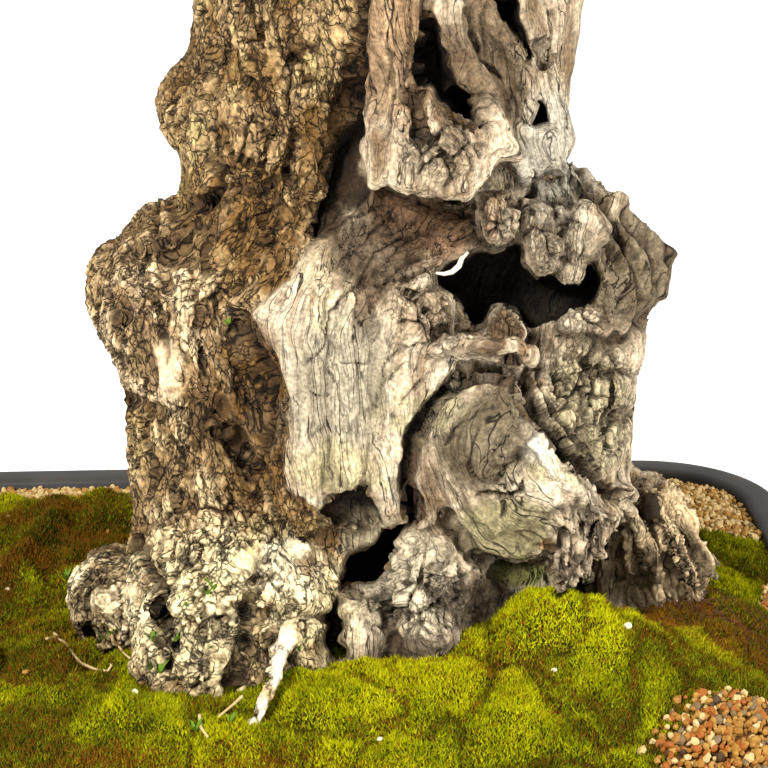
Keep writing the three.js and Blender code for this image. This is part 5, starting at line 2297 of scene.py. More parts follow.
MOSS_TONES: tuple[PlainFinish, ...] = (
    PlainFinish("moss_bright", (174, 172, 8), 0.8, 0.05),
    PlainFinish("moss_fresh", (142, 144, 6), 0.8, 0.05),
    PlainFinish("moss_green", (112, 116, 6), 0.8, 0.05),
    PlainFinish("moss_deep", (76, 76, 8), 0.8, 0.05),
    PlainFinish("moss_olive", (134, 100, 14), 0.8, 0.05),
    PlainFinish("moss_rust", (110, 68, 16), 0.8, 0.05),
)

GRAVEL_TONES: tuple[PlainFinish, ...] = (
    PlainFinish("gravel_tan", (142, 98, 38), 0.6, 0.2),
    PlainFinish("gravel_honey", (156, 114, 50), 0.6, 0.2),
    PlainFinish("gravel_cream", (190, 162, 108), 0.6, 0.2),
    PlainFinish("gravel_rust", (138, 78, 24), 0.6, 0.2),
    PlainFinish("gravel_grey", (110, 90, 60), 0.6, 0.2),
    PlainFinish("gravel_dark", (68, 48, 28), 0.6, 0.2),
)


class MossTone(Enum):
    """Places in the list of moss tones that the growing of moss goes by."""

    BRIGHTEST = 0
    DEEPEST = 3
    OLIVE = 4
    RUST = 5


@dataclass
class Ground:
    """The moss and gravel that cover the soil inside the pot."""

    half_length: float = 236.6
    half_depth: float = 156.6
    corner: float = 41.6
    step: float = 2.4
    level: float = 9.0
    rim_level: float = -4.0
    rim_width: float = 64.0
    narrowing: float = 0.92
    floor_level: float = -80.0
    bed_sink: float = 0.8
    probe: float = 0.1
    wall_gap: float = 1.5
    view_columns: Pixel = (-30.0, 800.0)
    view_bottom: float = 810.0
    view_level: float = 6.0
    moss_spacing: Pair = (0.43, 0.9)
    moss_size: Pair = (1.0, 1.5)
    gravel_spacing: Pair = (1.75, 2.8)
    gravel_shares: tuple[float, ...] = (0.27, 0.23, 0.18, 0.2, 0.07, 0.05)
    back_from: float = 60.0
    back_painted_light_tones: tuple[int, ...] = (1, 2, 2, 1, 2, 0)
    stray_gravel: float = 0.0005
    # How far below each fold its painted shadow lies, in pixels.
    fold_shadow_drop: float = 13.0
    fold_shade: float = 10.0
    fold_margin: float = 30.0
    mound_margin: float = 40.0
    cushion_margin: Pair = (-2.0, 14.0)
    cushion_rise: float = 5.5
    cushion_uneven: float = 3.0
    cushion_gap: float = 0.55
    cushion_sink: float = 3.4
    cushion_waver: float = 9.0
    knob_rise: float = 1.3
    knob_sharpness: float = 1.6
    tuft_rise: float = 0.6
    cushion_bend: Noise = Noise(24.0, 207, 2)
    cushion: Noise = Noise(34.0, 211)
    knobs: Noise = Noise(9.0, 203)
    tufts: Noise = Noise(4.0, 205)
    drift: Noise = Noise(60.0, 231, 3)
    small_drift: Noise = Noise(9.0, 233, 2)
    rust: Noise = Noise(12.0, 237, 2)
    soil_green: Tones = ((26, 20, 6), (58, 58, 8))
    soil_brown: Tones = ((44, 28, 16), (112, 76, 44))
    crumb_contrast: Pair = (0.35, 0.7)
    crumb_scale: float = 260.0
    crumb_depth: float = 0.001
    seed: int = 7

    def inside(self, x: Array, y: Array) -> Array:
        """Distance in from the pot's wall of places in the shared frame, in millimetres.

        Args:
            x: Places along the shared frame's x.
            y: Places along its y.

        Returns:
            The distances, less than 0 in the wall.
        """
        across = np.abs(x) - (self.half_length - self.corner)
        deep = np.abs(y) - (self.half_depth - self.corner)
        outside = np.hypot(np.maximum(across, 0.0), np.maximum(deep, 0.0))
        return self.corner - outside - np.minimum(np.maximum(across, deep), 0.0)

    @staticmethod
    def gravel(x: Array, y: Array) -> Array:
        """How much of the ground is gravel at places in the tree's frame."""
        return np.maximum.reduce([patch.share(x, y) for patch in GRAVEL_BEDS.values()])

    def height(self, x: Array, y: Array) -> Array:
        """Height of the ground at places in the tree's frame.

        Args:
            x: Places along the tree's x.
            y: Places along its y.

        Returns:
            The heights.
        """
        flat = np.stack([x, y, np.zeros(len(x))], axis=1)
        row = SEAT.to_row(flat) / MM
        margin = self.inside(row[:, 0], row[:, 1])
        base = self.rim_level + (self.level - self.rim_level) * smoothstep(0.0, self.rim_width, margin)
        for patch, rise in MOSS_MOUNDS.values():
            base += rise * np.exp(-(patch.away(x, y) ** 2)) * smoothstep(0.0, self.mound_margin, margin)
        px, py, _ = PHOTO.project(x, y, np.full(len(x), self.level))
        for fold in MOSS_FOLDS.values():
            away, inner = fold.nearest(px, py)
            held = inner * smoothstep(0.0, self.fold_margin, margin)
            base += fold.depth * np.exp(-((away / fold.width) ** 2)) * held
        gap, label = self.cushions(flat)
        rise = self.cushion_rise + self.cushion_uneven * (label - 0.5)
        knobs = 1.0 - self.knob_sharpness * np.abs(self.knobs.at(flat))
        cushions = rise * smoothstep(0.0, self.cushion_gap, gap)
        cushions += self.knob_rise * knobs + self.tuft_rise * self.tufts.at(flat) - self.cushion_sink
        gravel = self.gravel(x, y)
        return base + cushions * (1.0 - gravel) * smoothstep(*self.cushion_margin, margin) - gravel

    def cushions(self, flat: Array) -> Box:
        """The cushions that the moss grows in: how far off the gap between two is, and a number for each."""
        return self.cushion.cells((flat + self.cushion_waver * self.cushion_bend.thrice(flat)) * LEVEL)

    def build(self, solid: TrunkField) -> None:
        """Makes the bed, the moss and the gravel.

        Args:
            solid: The trunk's form, which moss and gravel keep out of.
        """
        self.bed()
        self.moss(solid)
        self.stones(solid)

    def bed(self) -> None:
        """The dark bed that the moss grows on."""
        xs = np.arange(-self.half_length, self.half_length + self.step, self.step)
        ys = np.arange(-self.half_depth, self.half_depth + self.step, self.step)
        x, y = (part.ravel() for part in np.meshgrid(xs, ys, indexing="ij"))
        margin = self.inside(x, y)
        grid = np.arange(len(x)).reshape(len(xs), len(ys))
        quads = np.stack([grid[:-1, :-1], grid[1:, :-1], grid[1:, 1:], grid[:-1, 1:]], axis=-1).reshape(-1, 4)
        quads = quads[(margin[quads] > -self.step).all(axis=1)]
        self.pull_in(x, y, margin < 0.0)
        used, faces = compact(quads)
        count = len(used)
        top_x, top_y = SEAT.to_tree(x[used], y[used])
        top = np.stack([top_x, top_y, self.height(top_x, top_y) - self.bed_sink], axis=1)
        floor_x, floor_y = SEAT.to_tree(x[used] * self.narrowing, y[used] * self.narrowing)
        floor = np.stack([floor_x, floor_y, np.full(count, self.floor_level)], axis=1)
        sides = {(a, b) for face in faces for a, b in zip(face, face[1:] + face[:1])}
        border = [(a, b) for a, b in sides if (b, a) not in sides]
        faces += [[b, a, a + count, b + count] for a, b in border]
        faces += [[b + count, a + count, 2 * count] for a, b in border]
        kept, faces = compact(faces)
        places = np.concatenate([top, floor, floor.mean(axis=0)[None]])[kept]
        piece = new_piece("soil_bed", places, faces, self.bed_finish())
        store(piece, "stony", self.gravel(*places.T[:2]))
        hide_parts("soil")

    def pull_in(self, x: Array, y: Array, out: Array) -> None:
        """Moves places that lie outside the pot's wall onto it.

        Args:
            x: Places along the shared frame's x, which change.
            y: Places along its y, too.
            out: Which places lie outside.
        """
        for _ in range(3):
            here_x, here_y = x[out], y[out]
            east = self.inside(here_x + self.probe, here_y) - self.inside(here_x - self.probe, here_y)
            north = self.inside(here_x, here_y + self.probe) - self.inside(here_x, here_y - self.probe)
            short = -self.inside(here_x, here_y) / (2.0 * self.probe)
            x[out] += east * short
            y[out] += north * short

    def bed_finish(self) -> Finish:
        """Dark crumbly soil with green between the shoots, brown under the gravel.

        Returns:
            The material.
        """
        shade = Shade("soil_bed", 0.95, 0.0)
        noise = shade.noise(shade.place(), self.crumb_scale, 6.0)
        green = shade.ramp(noise, *self.soil_green, *self.crumb_contrast)
        brown = shade.ramp(noise, *self.soil_brown, *self.crumb_contrast)
        shade.paint(shade.blend(shade.attribute("stony").outputs["Fac"], green, brown))
        shade.bump(noise, 0.8, self.crumb_depth)
        return shade.material

    def scatter(self, spacing: float, seed: int) -> Box:
        """Places in the tree's frame, one near each point of a grid over the pot's inside.

        Args:
            spacing: Side of the grid's squares.
            seed: Start of the chance.

        Returns:
            The places along the tree's x and y.
        """
        chance = np.random.default_rng(seed)
        xs = np.arange(-self.half_length, self.half_length, spacing)
        ys = np.arange(-self.half_depth, self.half_depth, spacing)
        x, y = (part.ravel() for part in np.meshgrid(xs, ys))
        x = x + chance.uniform(-0.5, 0.5, len(x)) * spacing
        y = y + chance.uniform(-0.5, 0.5, len(y)) * spacing
        keep = self.inside(x, y) > self.wall_gap
        return SEAT.to_tree(x[keep], y[keep])

    def in_view(self, x: Array, y: Array) -> Array:
        """Which places on the ground the view shows."""
        px, py, _ = PHOTO.project(x, y, np.full(len(x), self.view_level))
        return (px > self.view_columns[0]) & (px < self.view_columns[1]) & (py < self.view_bottom)

    def moss(self, solid: TrunkField) -> None:
        """The moss's shoots, in pieces by tone, smaller and closer where the view shows them.

        Args:
            solid: The trunk's form.
        """
        chance = np.random.default_rng(self.seed)
        spots, sizes = [], []
        for number, (spacing, size) in enumerate(zip(self.moss_spacing, self.moss_size)):
            x, y = self.scatter(spacing, self.seed + 1 + number)
            picked = self.in_view(x, y) == (number == 0)
            spots.append(np.stack([x[picked], y[picked]]))
            sizes.append(np.full(picked.sum(), size))
        x, y = np.concatenate(spots, axis=1)
        foot = np.stack([x, y, self.height(x, y)], axis=1)
        clear = solid.sample(foot + np.array([0.0, 0.0, 1.0])) > 0.3
        clear &= chance.uniform(0.0, 1.0, len(x)) > self.gravel(x, y)
        foot, size = foot[clear], np.concatenate(sizes)[clear]
        count = len(foot)
        tone = self.moss_tone(foot, chance)
        taller = np.where(tone >= MossTone.OLIVE.value, 1.25, 1.0)
        tall = size * chance.uniform(0.5, 1.4, count) * taller
        wide = size * chance.uniform(0.18, 0.32, count)
        lean = chance.normal(0.0, 0.75, (count, 2))
        tip = foot + np.column_stack([lean, np.ones(count)]) * tall[:, None]
        turn = chance.uniform(0.0, FULL_TURN, count)
        side = np.stack([wide * np.cos(turn), wide * np.sin(turn), np.full(count, -0.5)], axis=1)
        back = side * np.array([-1.0, -1.0, 1.0])
        shoots = np.stack([tip, foot + side, foot + back], axis=1)
        pieces_by_tone(MOSS_TONES, tone, shoots, np.array([[0, 1, 2]]))

    def moss_tone(self, foot: Array, chance: Chance) -> Array:
        """The tone of each shoot, by cushion, with stray shoots of other tones, and deeper and rust tones
        painted as shade in the gaps between cushions and as shadow just below each fold.

        Args:
            foot: Where each shoot stands.
            chance: Source of chance.

        Returns:
            The number of each shoot's tone.
        """
        x, y, count = foot[:, 0], foot[:, 1], len(foot)
        flat = foot * LEVEL
        gap, label = self.cushions(flat)
        drift = 1.2 * self.drift.at(flat) + 0.9 * self.small_drift.at(flat) + 1.6 * (label - 0.5)
        rusty = np.maximum.reduce([share * patch.fade(x, y) for patch, share in RUSTY_PATCHES.values()])
        rusty = np.clip(rusty * (1.0 + 0.8 * self.rust.at(flat)), 0.0, 1.0)
        px, py, _ = PHOTO.project(x, y, np.full(count, self.level))
        # Painted shade: gaps between cushions, and a band just below each fold, push shoots to deeper and
        # rust tones.
        gap = smoothstep(0.16, 0.0, gap)
        for fold in MOSS_FOLDS.values():
            away, inner = fold.nearest(px, py - self.fold_shadow_drop)
            gap = np.maximum(gap, 0.9 * inner * np.exp(-((away / self.fold_shade) ** 2)))
        score = 1.5 - 1.1 * BRIGHT_MOSS.fade(x, y) + drift + 1.4 * gap + chance.normal(0.0, 0.6, count)
        tone = np.clip(np.round(score), MossTone.BRIGHTEST.value, MossTone.DEEPEST.value).astype(int)
        stray = chance.uniform(0.0, 1.0, count) - 0.25 * drift * rusty
        tone = np.where(stray < 0.08 + 0.55 * rusty, MossTone.OLIVE.value, tone)
        return np.where(stray < 0.02 + 0.3 * rusty + 0.25 * gap, MossTone.RUST.value, tone)

    def stones(self, solid: TrunkField) -> None:
        """The gravel's grains, in pieces by tone, finer where the view shows them.

        Args:
            solid: The trunk's form.
        """
        ball, faces = self.ball(1)
        for side, spacing in zip(("near", "far"), self.gravel_spacing):
            chance = np.random.default_rng(self.seed + 3)
            x, y = self.scatter(spacing, self.seed + 4)
            stray = chance.uniform(0.0, 1.0, len(x))
            keep = (stray < self.gravel(x, y)) | (stray < self.stray_gravel)
            keep &= self.in_view(x, y) == (side == "near")
            x, y = x[keep], y[keep]
            middle = np.stack([x, y, self.height(x, y) + chance.uniform(-0.6, 1.8, len(x))], axis=1)
            middle = middle[solid.sample(middle) > 1.0]
            count = len(middle)
            size = chance.uniform(0.75, 1.0, (count, 1, 1)) * chance.uniform(0.75, 1.25, (count, 1, 3))
            size *= 0.72 * spacing * (1.0 + 0.9 * chance.uniform(0.0, 1.0, (count, 1, 1)) ** 3)
            rough = chance.uniform(0.78, 1.12, (count, len(ball), 1))
            spin = self.turns(chance, count)
            grains = np.einsum("nij,nkj->nki", spin, ball[None] * rough * size) + middle[:, None]
            tone = chance.choice(len(GRAVEL_TONES), count, p=self.gravel_shares)
            # Painted light: grains behind the trunk take paler tones, to make up for the trunk's shadow over
            # them.
            tone = np.where(middle[:, 1] > self.back_from, np.array(self.back_painted_light_tones)[tone], tone)
            tones = [replace(finish, name=f"{finish.name}_{side}") for finish in GRAVEL_TONES]
            for grit in pieces_by_tone(tones, tone, grains, faces):
                grit.data.shade_flat()

    @staticmethod
    def turns(chance: Chance, count: int) -> Array:
        """Random turns, as matrices.

        Args:
            chance: Source of chance.
            count: How many turns.

        Returns:
            One matrix for each turn.
        """
        w, x, y, z = unit(chance.normal(0.0, 1.0, (count, 4))).T
        rows = [
            [1 - 2 * (y * y + z * z), 2 * (x * y - z * w), 2 * (x * z + y * w)],
            [2 * (x * y + z * w), 1 - 2 * (x * x + z * z), 2 * (y * z - x * w)],
            [2 * (x * z - y * w), 2 * (y * z + x * w), 1 - 2 * (x * x + y * y)],
        ]
        return np.array(rows).transpose(2, 0, 1)

    @staticmethod
    def ball(fineness: int) -> Box:
        """Corners and faces of a ball, which the grains are squeezed from.

        Args:
            fineness: How often its faces are divided.

        Returns:
            The corners and the faces.
        """
        bpy.ops.object.select_all(action="DESELECT")
        bpy.ops.mesh.primitive_ico_sphere_add(subdivisions=fineness, radius=1.0)
        ball = bpy.context.object
        corners = np.array([vertex.co[:] for vertex in ball.data.vertices])
        faces = np.array([face.vertices[:] for face in ball.data.polygons])
        bpy.data.objects.remove(ball)
        return corners, faces


@dataclass
class Litter:
    """Small sprouts, thin roots and dead stems by the trunk, a pale sliver of wood and a few pale bits."""

    sprouts: Path = (
        (186, 606), (208, 594), (214, 588), (112, 634), (104, 640), (152, 640), (150, 668), (160, 672),
        (176, 640), (230, 722), (66, 578), (300, 650), (286, 676), (196, 730), (228, 324), (210, 650),
    )
    pale_bits: Path = ((135, 693), (554, 671), (380, 740), (628, 627), (8, 590))
    rootlets: tuple[Path, ...] = (
        ((54, 634), (65, 644), (73, 655), (81, 664), (95, 670), (108, 672), (112, 666), (103, 661)),
        ((47, 640), (57, 639), (67, 645)),
        ((111, 630), (113, 641), (119, 647), (123, 653), (130, 659)),
        ((200, 716), (201, 728), (208, 738)),
        ((243, 697), (233, 706), (218, 718)),
    )
    sliver: Path = ((436, 273), (444, 274), (452, 272), (459, 266), (462, 258), (468, 252))
    sliver_radii: tuple[float, ...] = (0.4, 0.7, 0.9, 1.0, 0.8, 0.6)
    blades: int = 5
    blade_rows: tuple[Pixel, ...] = ((0.0, 0.3), (0.45, 1.0), (0.8, 0.7))
    blade_tall: Pair = (2.2, 4.6)
    blade_wide: Pair = (0.35, 0.8)
    blade_foot: float = 0.3
    blade_lean: float = 0.75
    blade_curve: float = 1.6
    blade_tip: Pair = (0.8, 0.95)
    stems: int = 130
    stem_knots: int = 6
    stem_middle: Pair = (116.0, -8.0)
    stem_spread: Pair = (16.0, 12.0)
    stem_reach: Pair = (5.0, 14.0)
    stem_curl: Pair = (-0.9, 0.9)
    stem_lift: float = 0.8
    stem_rise: Pair = (0.5, 3.0)
    stem_arch: Pair = (0.6, 1.0)
    stem_radii: Pair = (0.25, 0.1)
    bit_size: Pair = (0.9, 1.5)
    bit_shape: Point = (1.2, 0.9, 0.8)
    bit_uneven: Pair = (0.8, 1.2)
    bit_rough: Pair = (0.9, 1.1)
    bit_lift: float = 0.4
    sight: Pair = (-150.0, 150.0)
    sight_step: float = 0.5
    seed: int = 19
    green: PlainFinish = PlainFinish("sprout_green", (88, 116, 30))
    brown: PlainFinish = PlainFinish("stem_brown", (76, 48, 28), 0.8)
    cream: PlainFinish = PlainFinish("rootlet_cream", (204, 176, 124))
    pale: PlainFinish = PlainFinish("sliver_white", (226, 216, 192))
    white: PlainFinish = PlainFinish("bit_white", (206, 194, 160))

    def build(self, solid: TrunkField, ground: Ground) -> None:
        """Makes the sprouts, the stems, the bits, the thin roots and the sliver.

        Args:
            solid: The trunk's form.
            ground: The ground that they lie on.
        """
        chance = np.random.default_rng(self.seed)
        self.make_sprouts(solid, ground, chance)
        self.make_stems(ground, chance)
        self.make_bits(solid, ground, chance)
        self.make_rootlets(solid, ground)
        self.make_sliver(solid, ground)

    def landing(self, pixel: Pixel, solid: TrunkField, ground: Ground) -> Array:
        """The place on the trunk or ground that a pixel shows.

        Args:
            pixel: The pixel.
            solid: The trunk's form.
            ground: The ground.

        Returns:
            The place in the tree's frame.
        """
        places = np.array([PHOTO.place(pixel, y) for y in np.arange(*self.sight, self.sight_step)])
        under = places[:, 2] < ground.height(places[:, 0], places[:, 1])
        return places[np.flatnonzero(under | (solid.sample(places) < 0.0))[0]]

    def make_sprouts(self, solid: TrunkField, ground: Ground, chance: Chance) -> None:
        """Tufts of narrow leaves, each folded along its middle and bent outwards.

        Args:
            solid: The trunk's solid.
            ground: The ground.
            chance: Source of chance.
        """
        blades = []
        for pixel in self.sprouts:
            root = self.landing(pixel, solid, ground) + np.array([0.0, -1.0, 0.0])
            for _ in range(self.blades):
                turn = chance.uniform(0.0, FULL_TURN)
                out = np.array([math.cos(turn), math.sin(turn), 0.0])
                side = np.array([-out[1], out[0], 0.0])
                tall, wide = chance.uniform(*self.blade_tall), chance.uniform(*self.blade_wide)
                corners = []
                for share, half in self.blade_rows:
                    bent = self.blade_foot + tall * self.blade_lean * share**self.blade_curve
                    middle = root + out * bent + np.array([0.0, 0.0, tall * share])
                    corners += [middle - side * wide * half, middle, middle + side * wide * half]
                lean, rise = self.blade_tip
                tip = root + out * (self.blade_foot + tall * lean)
                corners.append(tip + np.array([0.0, 0.0, tall * rise]))
                blades.append(corners)
        strip = [[corner, corner + 1, corner + 4, corner + 3] for corner in (0, 1, 3, 4)]
        blade = strip + [[6, 7, 9], [7, 8, 9]]
        starts = range(0, 10 * len(blades), 10)
        faces = [[start + corner for corner in face] for start in starts for face in blade]
        new_piece("sprouts", np.concatenate(blades), faces, self.green.material())

    def make_stems(self, ground: Ground, chance: Chance) -> None:
        """Thin dead stems that lie criss-cross on the moss.

        Args:
            ground: The ground.
            chance: Source of chance.
        """
        tubes = Tubes()
        share = np.linspace(0.0, 1.0, self.stem_knots)
        for _ in range(self.stems):
            start = chance.normal(self.stem_middle, self.stem_spread)
            turn = chance.uniform(0.0, FULL_TURN)
            reach, curl = chance.uniform(*self.stem_reach), chance.uniform(*self.stem_curl)
            way = turn + curl * share
            steps = np.cumsum([np.cos(way), np.sin(way)], axis=1) * reach / self.stem_knots
            x, y = start[:, None] + steps
            rise = chance.uniform(*self.stem_rise)
            rise = self.stem_lift + rise * np.sin(math.pi * share * chance.uniform(*self.stem_arch))
            path = np.stack([x, y, ground.height(x, y) + rise], axis=1)
            tubes.add(path, np.linspace(*self.stem_radii, len(path)), 4)
        tubes.piece("dead_stems", self.brown.material(), "soil")

    def make_rootlets(self, solid: TrunkField, ground: Ground) -> None:
        """Thin pale roots that lie over the moss, each along its own pixels.

        Args:
            solid: The trunk's solid.
            ground: The ground.
        """
        tubes = Tubes()
        for pixels in self.rootlets:
            knots = np.array([self.landing(pixel, solid, ground) for pixel in pixels])
            share = np.linspace(0.0, len(knots) - 1.0, 5 * len(knots))
            way = [np.interp(share, np.arange(len(knots)), part) for part in knots.T]
            path = np.stack(way, axis=1) + np.array([0.0, -0.4, 0.5])
            tubes.add(path, np.linspace(0.75, 0.4, len(path)), 6)
        tubes.piece("rootlets", self.cream.material(), "trunk")

    def make_sliver(self, solid: TrunkField, ground: Ground) -> None:
        """A pale sliver of wood that spans the mouth's corner, held by the wood at both ends.

        Args:
            solid: The trunk's solid.
            ground: The ground.
        """
        ends = [self.landing(pixel, solid, ground)[1] for pixel in (self.sliver[0], self.sliver[-1])]
        depths = np.linspace(*ends, len(self.sliver))
        path = np.array([PHOTO.place(pixel, depth) for pixel, depth in zip(self.sliver, depths)])
        tubes = Tubes()
        tubes.add(path, np.array(self.sliver_radii), 8)
        tubes.piece("sliver", self.pale.material(), "trunk")

    def make_bits(self, solid: TrunkField, ground: Ground, chance: Chance) -> None:
        """Pale bits of stone and shell.

        Args:
            solid: The trunk's solid.
            ground: The ground.
            chance: Source of chance.
        """
        ball, faces = ground.ball(2)
        bits = []
        for pixel in self.pale_bits:
            place = self.landing(pixel, solid, ground) + np.array([0.0, 0.0, self.bit_lift])
            size = chance.uniform(*self.bit_size) * np.array(self.bit_shape)
            size = size * chance.uniform(*self.bit_uneven, 3)
            bits.append(ball * size * chance.uniform(*self.bit_rough, (len(ball), 1)) + place)
        joined = repeated(faces, len(ball), len(bits))
        new_piece("pale_bits", np.concatenate(bits), joined, self.white.material())


@dataclass(frozen=True)
class Mass:
    """One mass of leaves, and the place in the trunk where its bough grows from."""

    name: str
    at: Point
    reach: Point
    socket: Point
    foot: float

    def level(self, point: Array) -> float:
        """How far out a place lies in the mass: 0 at its middle, 1 on its surface."""
        return float(np.linalg.norm((point - np.array(self.at)) / np.array(self.reach)))


MASSES: tuple[Mass, ...] = (
    Mass("apex", (-8, 6, 548), (116, 106, 70), (-4, 6, 316), 20),
    Mass("left_high", (-130, -24, 474), (104, 98, 60), (-26, -6, 308), 18),
    Mass("right_high", (122, 22, 484), (104, 96, 60), (22, 12, 312), 17),
    Mass("left_low", (-216, 22, 388), (100, 94, 52), (-30, 6, 272), 18),
    Mass("right_low", (208, -16, 394), (98, 92, 52), (28, 2, 268), 16),
    Mass("front", (34, -142, 430), (108, 84, 54), (6, -20, 296), 16),
    Mass("front_left", (-112, -152, 392), (96, 80, 50), (-24, -18, 272), 15),
    Mass("back", (-62, 146, 434), (108, 86, 56), (-10, 22, 294), 17),
    Mass("back_right", (100, 148, 404), (98, 84, 53), (16, 24, 264), 15),
)

LEAF_TONES: tuple[PlainFinish, ...] = (
    PlainFinish("leaves_deep", (62, 78, 44), 0.5, 0.5),
    PlainFinish("leaves_green", (86, 104, 56), 0.5, 0.5),
    PlainFinish("leaves_grey_green", (116, 128, 88), 0.5, 0.5),
    PlainFinish("leaves_silver", (158, 166, 138), 0.5, 0.5),
    PlainFinish("leaves_young", (128, 140, 62), 0.5, 0.5),
)


@dataclass(frozen=True)
class Leaf:
    """One leaf: where it grows, which way and how large, how it is rolled, and what its tone goes by."""

    root: Array
    way: Array
    size: float
    roll: float
    tone: float


@dataclass
class Crown:
    """Boughs, twigs and leaves."""

    tip_radius: float = 4.6
    entry: float = 0.74
    rise: float = 0.26
    run: float = 0.5
    levelling: float = 0.34
    bough_sides: int = 30
    bough_step: float = 2.6
    lumps: Noise = Noise(15.0, 301, 3)
    ridges: Noise = Noise(4.5, 305, 3)
    scales: Scales = Scales(Noise(4.6, 311), 0.3, 0.7, 0.8, 0.5)
    primaries: int = 17
    topmost: float = 0.995
    fall: float = 1.5
    lowest: float = 0.3
    golden_turn: float = math.pi * (3.0 - math.sqrt(5.0))
    side_shares: tuple[float, ...] = tuple(np.linspace(0.3, 0.94, 7))
    spur_shares: tuple[float, ...] = (0.3, 0.55, 0.8)
    stem_radii: Pair = (4.6, 2.0)
    primary_radii: Pair = (1.7, 0.6)
    side_radii: Pair = (0.95, 0.4)
    spur_radii: Pair = (0.55, 0.3)
    thick_twig: float = 3.0
    primary_reach: Pair = (0.84, 0.93)
    primary_arch: float = 0.1
    side_reach: Pair = (0.52, 0.26)
    side_uneven: Pair = (0.8, 1.2)
    spur_reach: Pair = (11.0, 20.0)
    side_way: Point = (0.75, 0.8, 0.12)
    spur_way: Point = (0.7, 0.8, 0.15)
    pair_way: Point = (0.62, 0.8, 0.0)
    bare_shares: Point = (0.55, 0.35, 0.2)
    keep_within: float = 0.95
    keep_tries: int = 6
    draw_back: float = 0.75
    turn_in: float = 0.25
    twig_bark: Tones = ((84, 74, 58), (150, 140, 118))
    twig_contrast: Pair = (0.3, 0.7)
    twig_mottle: float = 300.0
    leaf_sizes: Pair = (0.72, 1.15)
    leaf_lift: Pair = (-0.15, 0.25)
    leaf_roll: float = 0.5
    leaf_length: float = 19.0
    leaf_width: float = 5.4
    leaf_outline: tuple[Point, ...] = (
        (0.0, 0.0, 0.0), (0.34, -1.0, 0.1), (0.34, 0.0, -0.16), (0.34, 1.0, 0.1),
        (0.72, -0.72, 0.02), (0.72, 0.0, -0.2), (0.72, 0.72, 0.02), (1.0, 0.0, -0.22),
    )
    leaf_faces: tuple[tuple[int, int, int], ...] = (
        (0, 1, 2), (0, 2, 3), (1, 4, 2), (2, 4, 5), (2, 5, 6), (2, 6, 3), (4, 7, 5), (5, 7, 6),
    )
    tone_steps: tuple[float, ...] = (0.26, 0.58, 0.82, 0.94)
    pair_gap: float = 5.0
    seed: int = 31
    twigs: Tubes = field(default_factory=Tubes)
    leaves: list[Leaf] = field(default_factory=list)

    def curve(self, mass: Mass, share: Array) -> Array:
        """Places along a mass's bough, which leans out of its socket, rises and levels out.

        Args:
            mass: The mass.
            share: How far along, from 0 to 1.

        Returns:
            One place for each share.
        """
        socket, centre = np.array(mass.socket, float), np.array(mass.at, float)
        way = centre - socket
        tip = centre - way * self.entry / np.linalg.norm(way / np.array(mass.reach))
        flat, climb = (tip - socket) * LEVEL, (tip - socket) * (1.0 - LEVEL) * self.rise
        first = socket + flat * self.run + climb
        second = tip - flat * self.levelling - climb
        t = share[:, None]
        towards = 3 * t * (1 - t) ** 2 * first + 3 * t * t * (1 - t) * second
        return (1 - t) ** 3 * socket + towards + t**3 * tip

    def build(self, paint: TrunkPaint) -> None:
        """Makes the boughs, then the twigs and leaves of every mass.

        Args:
            paint: The trunk's finish, which the boughs share.
        """
        bark = paint.material()
        for number, mass in enumerate(MASSES):
            self.bough(mass, bark, paint)
            self.grow(mass, np.random.default_rng(self.seed + number))
        twigs = self.twigs.piece("twigs", self.twig_finish(), "leaves")
        for piece in [twigs, *self.join_leaves()]:
            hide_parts(*[f"leaves_{mass.name}" for mass in MASSES])

    def bough(self, mass: Mass, material: Finish, paint: TrunkPaint) -> None:
        """One bough: a tapering limb with bark relief.

        Args:
            mass: The mass that it carries.
            material: Its finish.
            paint: Its colours.
        """
        length = self.length(self.curve(mass, np.linspace(0.0, 1.0, 200)))
        count, sides = int(length / self.bough_step), self.bough_sides
        share = np.linspace(0.0, 1.0, count)
        spine = self.curve(mass, share)
        radius = mixed(mass.foot, self.tip_radius, share)
        points = Tubes.points(spine, radius, sides)
        outward = unit(points - np.repeat(spine, sides, axis=0))
        thick, share = np.repeat(radius, sides), np.repeat(share, sides)
        lumps = self.lumps.at(points)
        ridges = self.ridges.at(points * np.array([1.0, 1.0, 0.6]))
        scales, gap, label = self.scales.at(points + 1.5 * ridges[:, None])
        lift = thick * (0.14 * lumps + 0.07 * ridges) + scales
        points = points + outward * (lift * smoothstep(1.0, 0.96, share))[:, None]
        piece = new_piece(f"limb_{mass.name}", points, Tubes.sides(count, sides), material)
        cracked = np.maximum(smoothstep(0.18, 0.04, gap), 0.5 * smoothstep(0.2, -0.6, ridges))[:, None]
        tone = smoothstep(-1.0, 1.0, lumps + label - 0.5)[:, None]
        skin = mixed(mixed(paint.bark_dark, paint.bark, tone), paint.crack, 0.7 * cracked)
        store(piece, "skin", np.column_stack([skin, np.ones(len(skin))]))
        turn = np.tile(np.linspace(0.0, FULL_TURN, sides, endpoint=False), count)
        grain = [np.cos(turn) * thick, share * length, np.sin(turn) * thick]
        store(piece, "grain", np.stack(grain, axis=1))
        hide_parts(f"bough_{mass.name}")

    @staticmethod
    def length(path: Array) -> float:
        """How long a path is."""
        return float(np.linalg.norm(np.diff(path, axis=0), axis=1).sum())

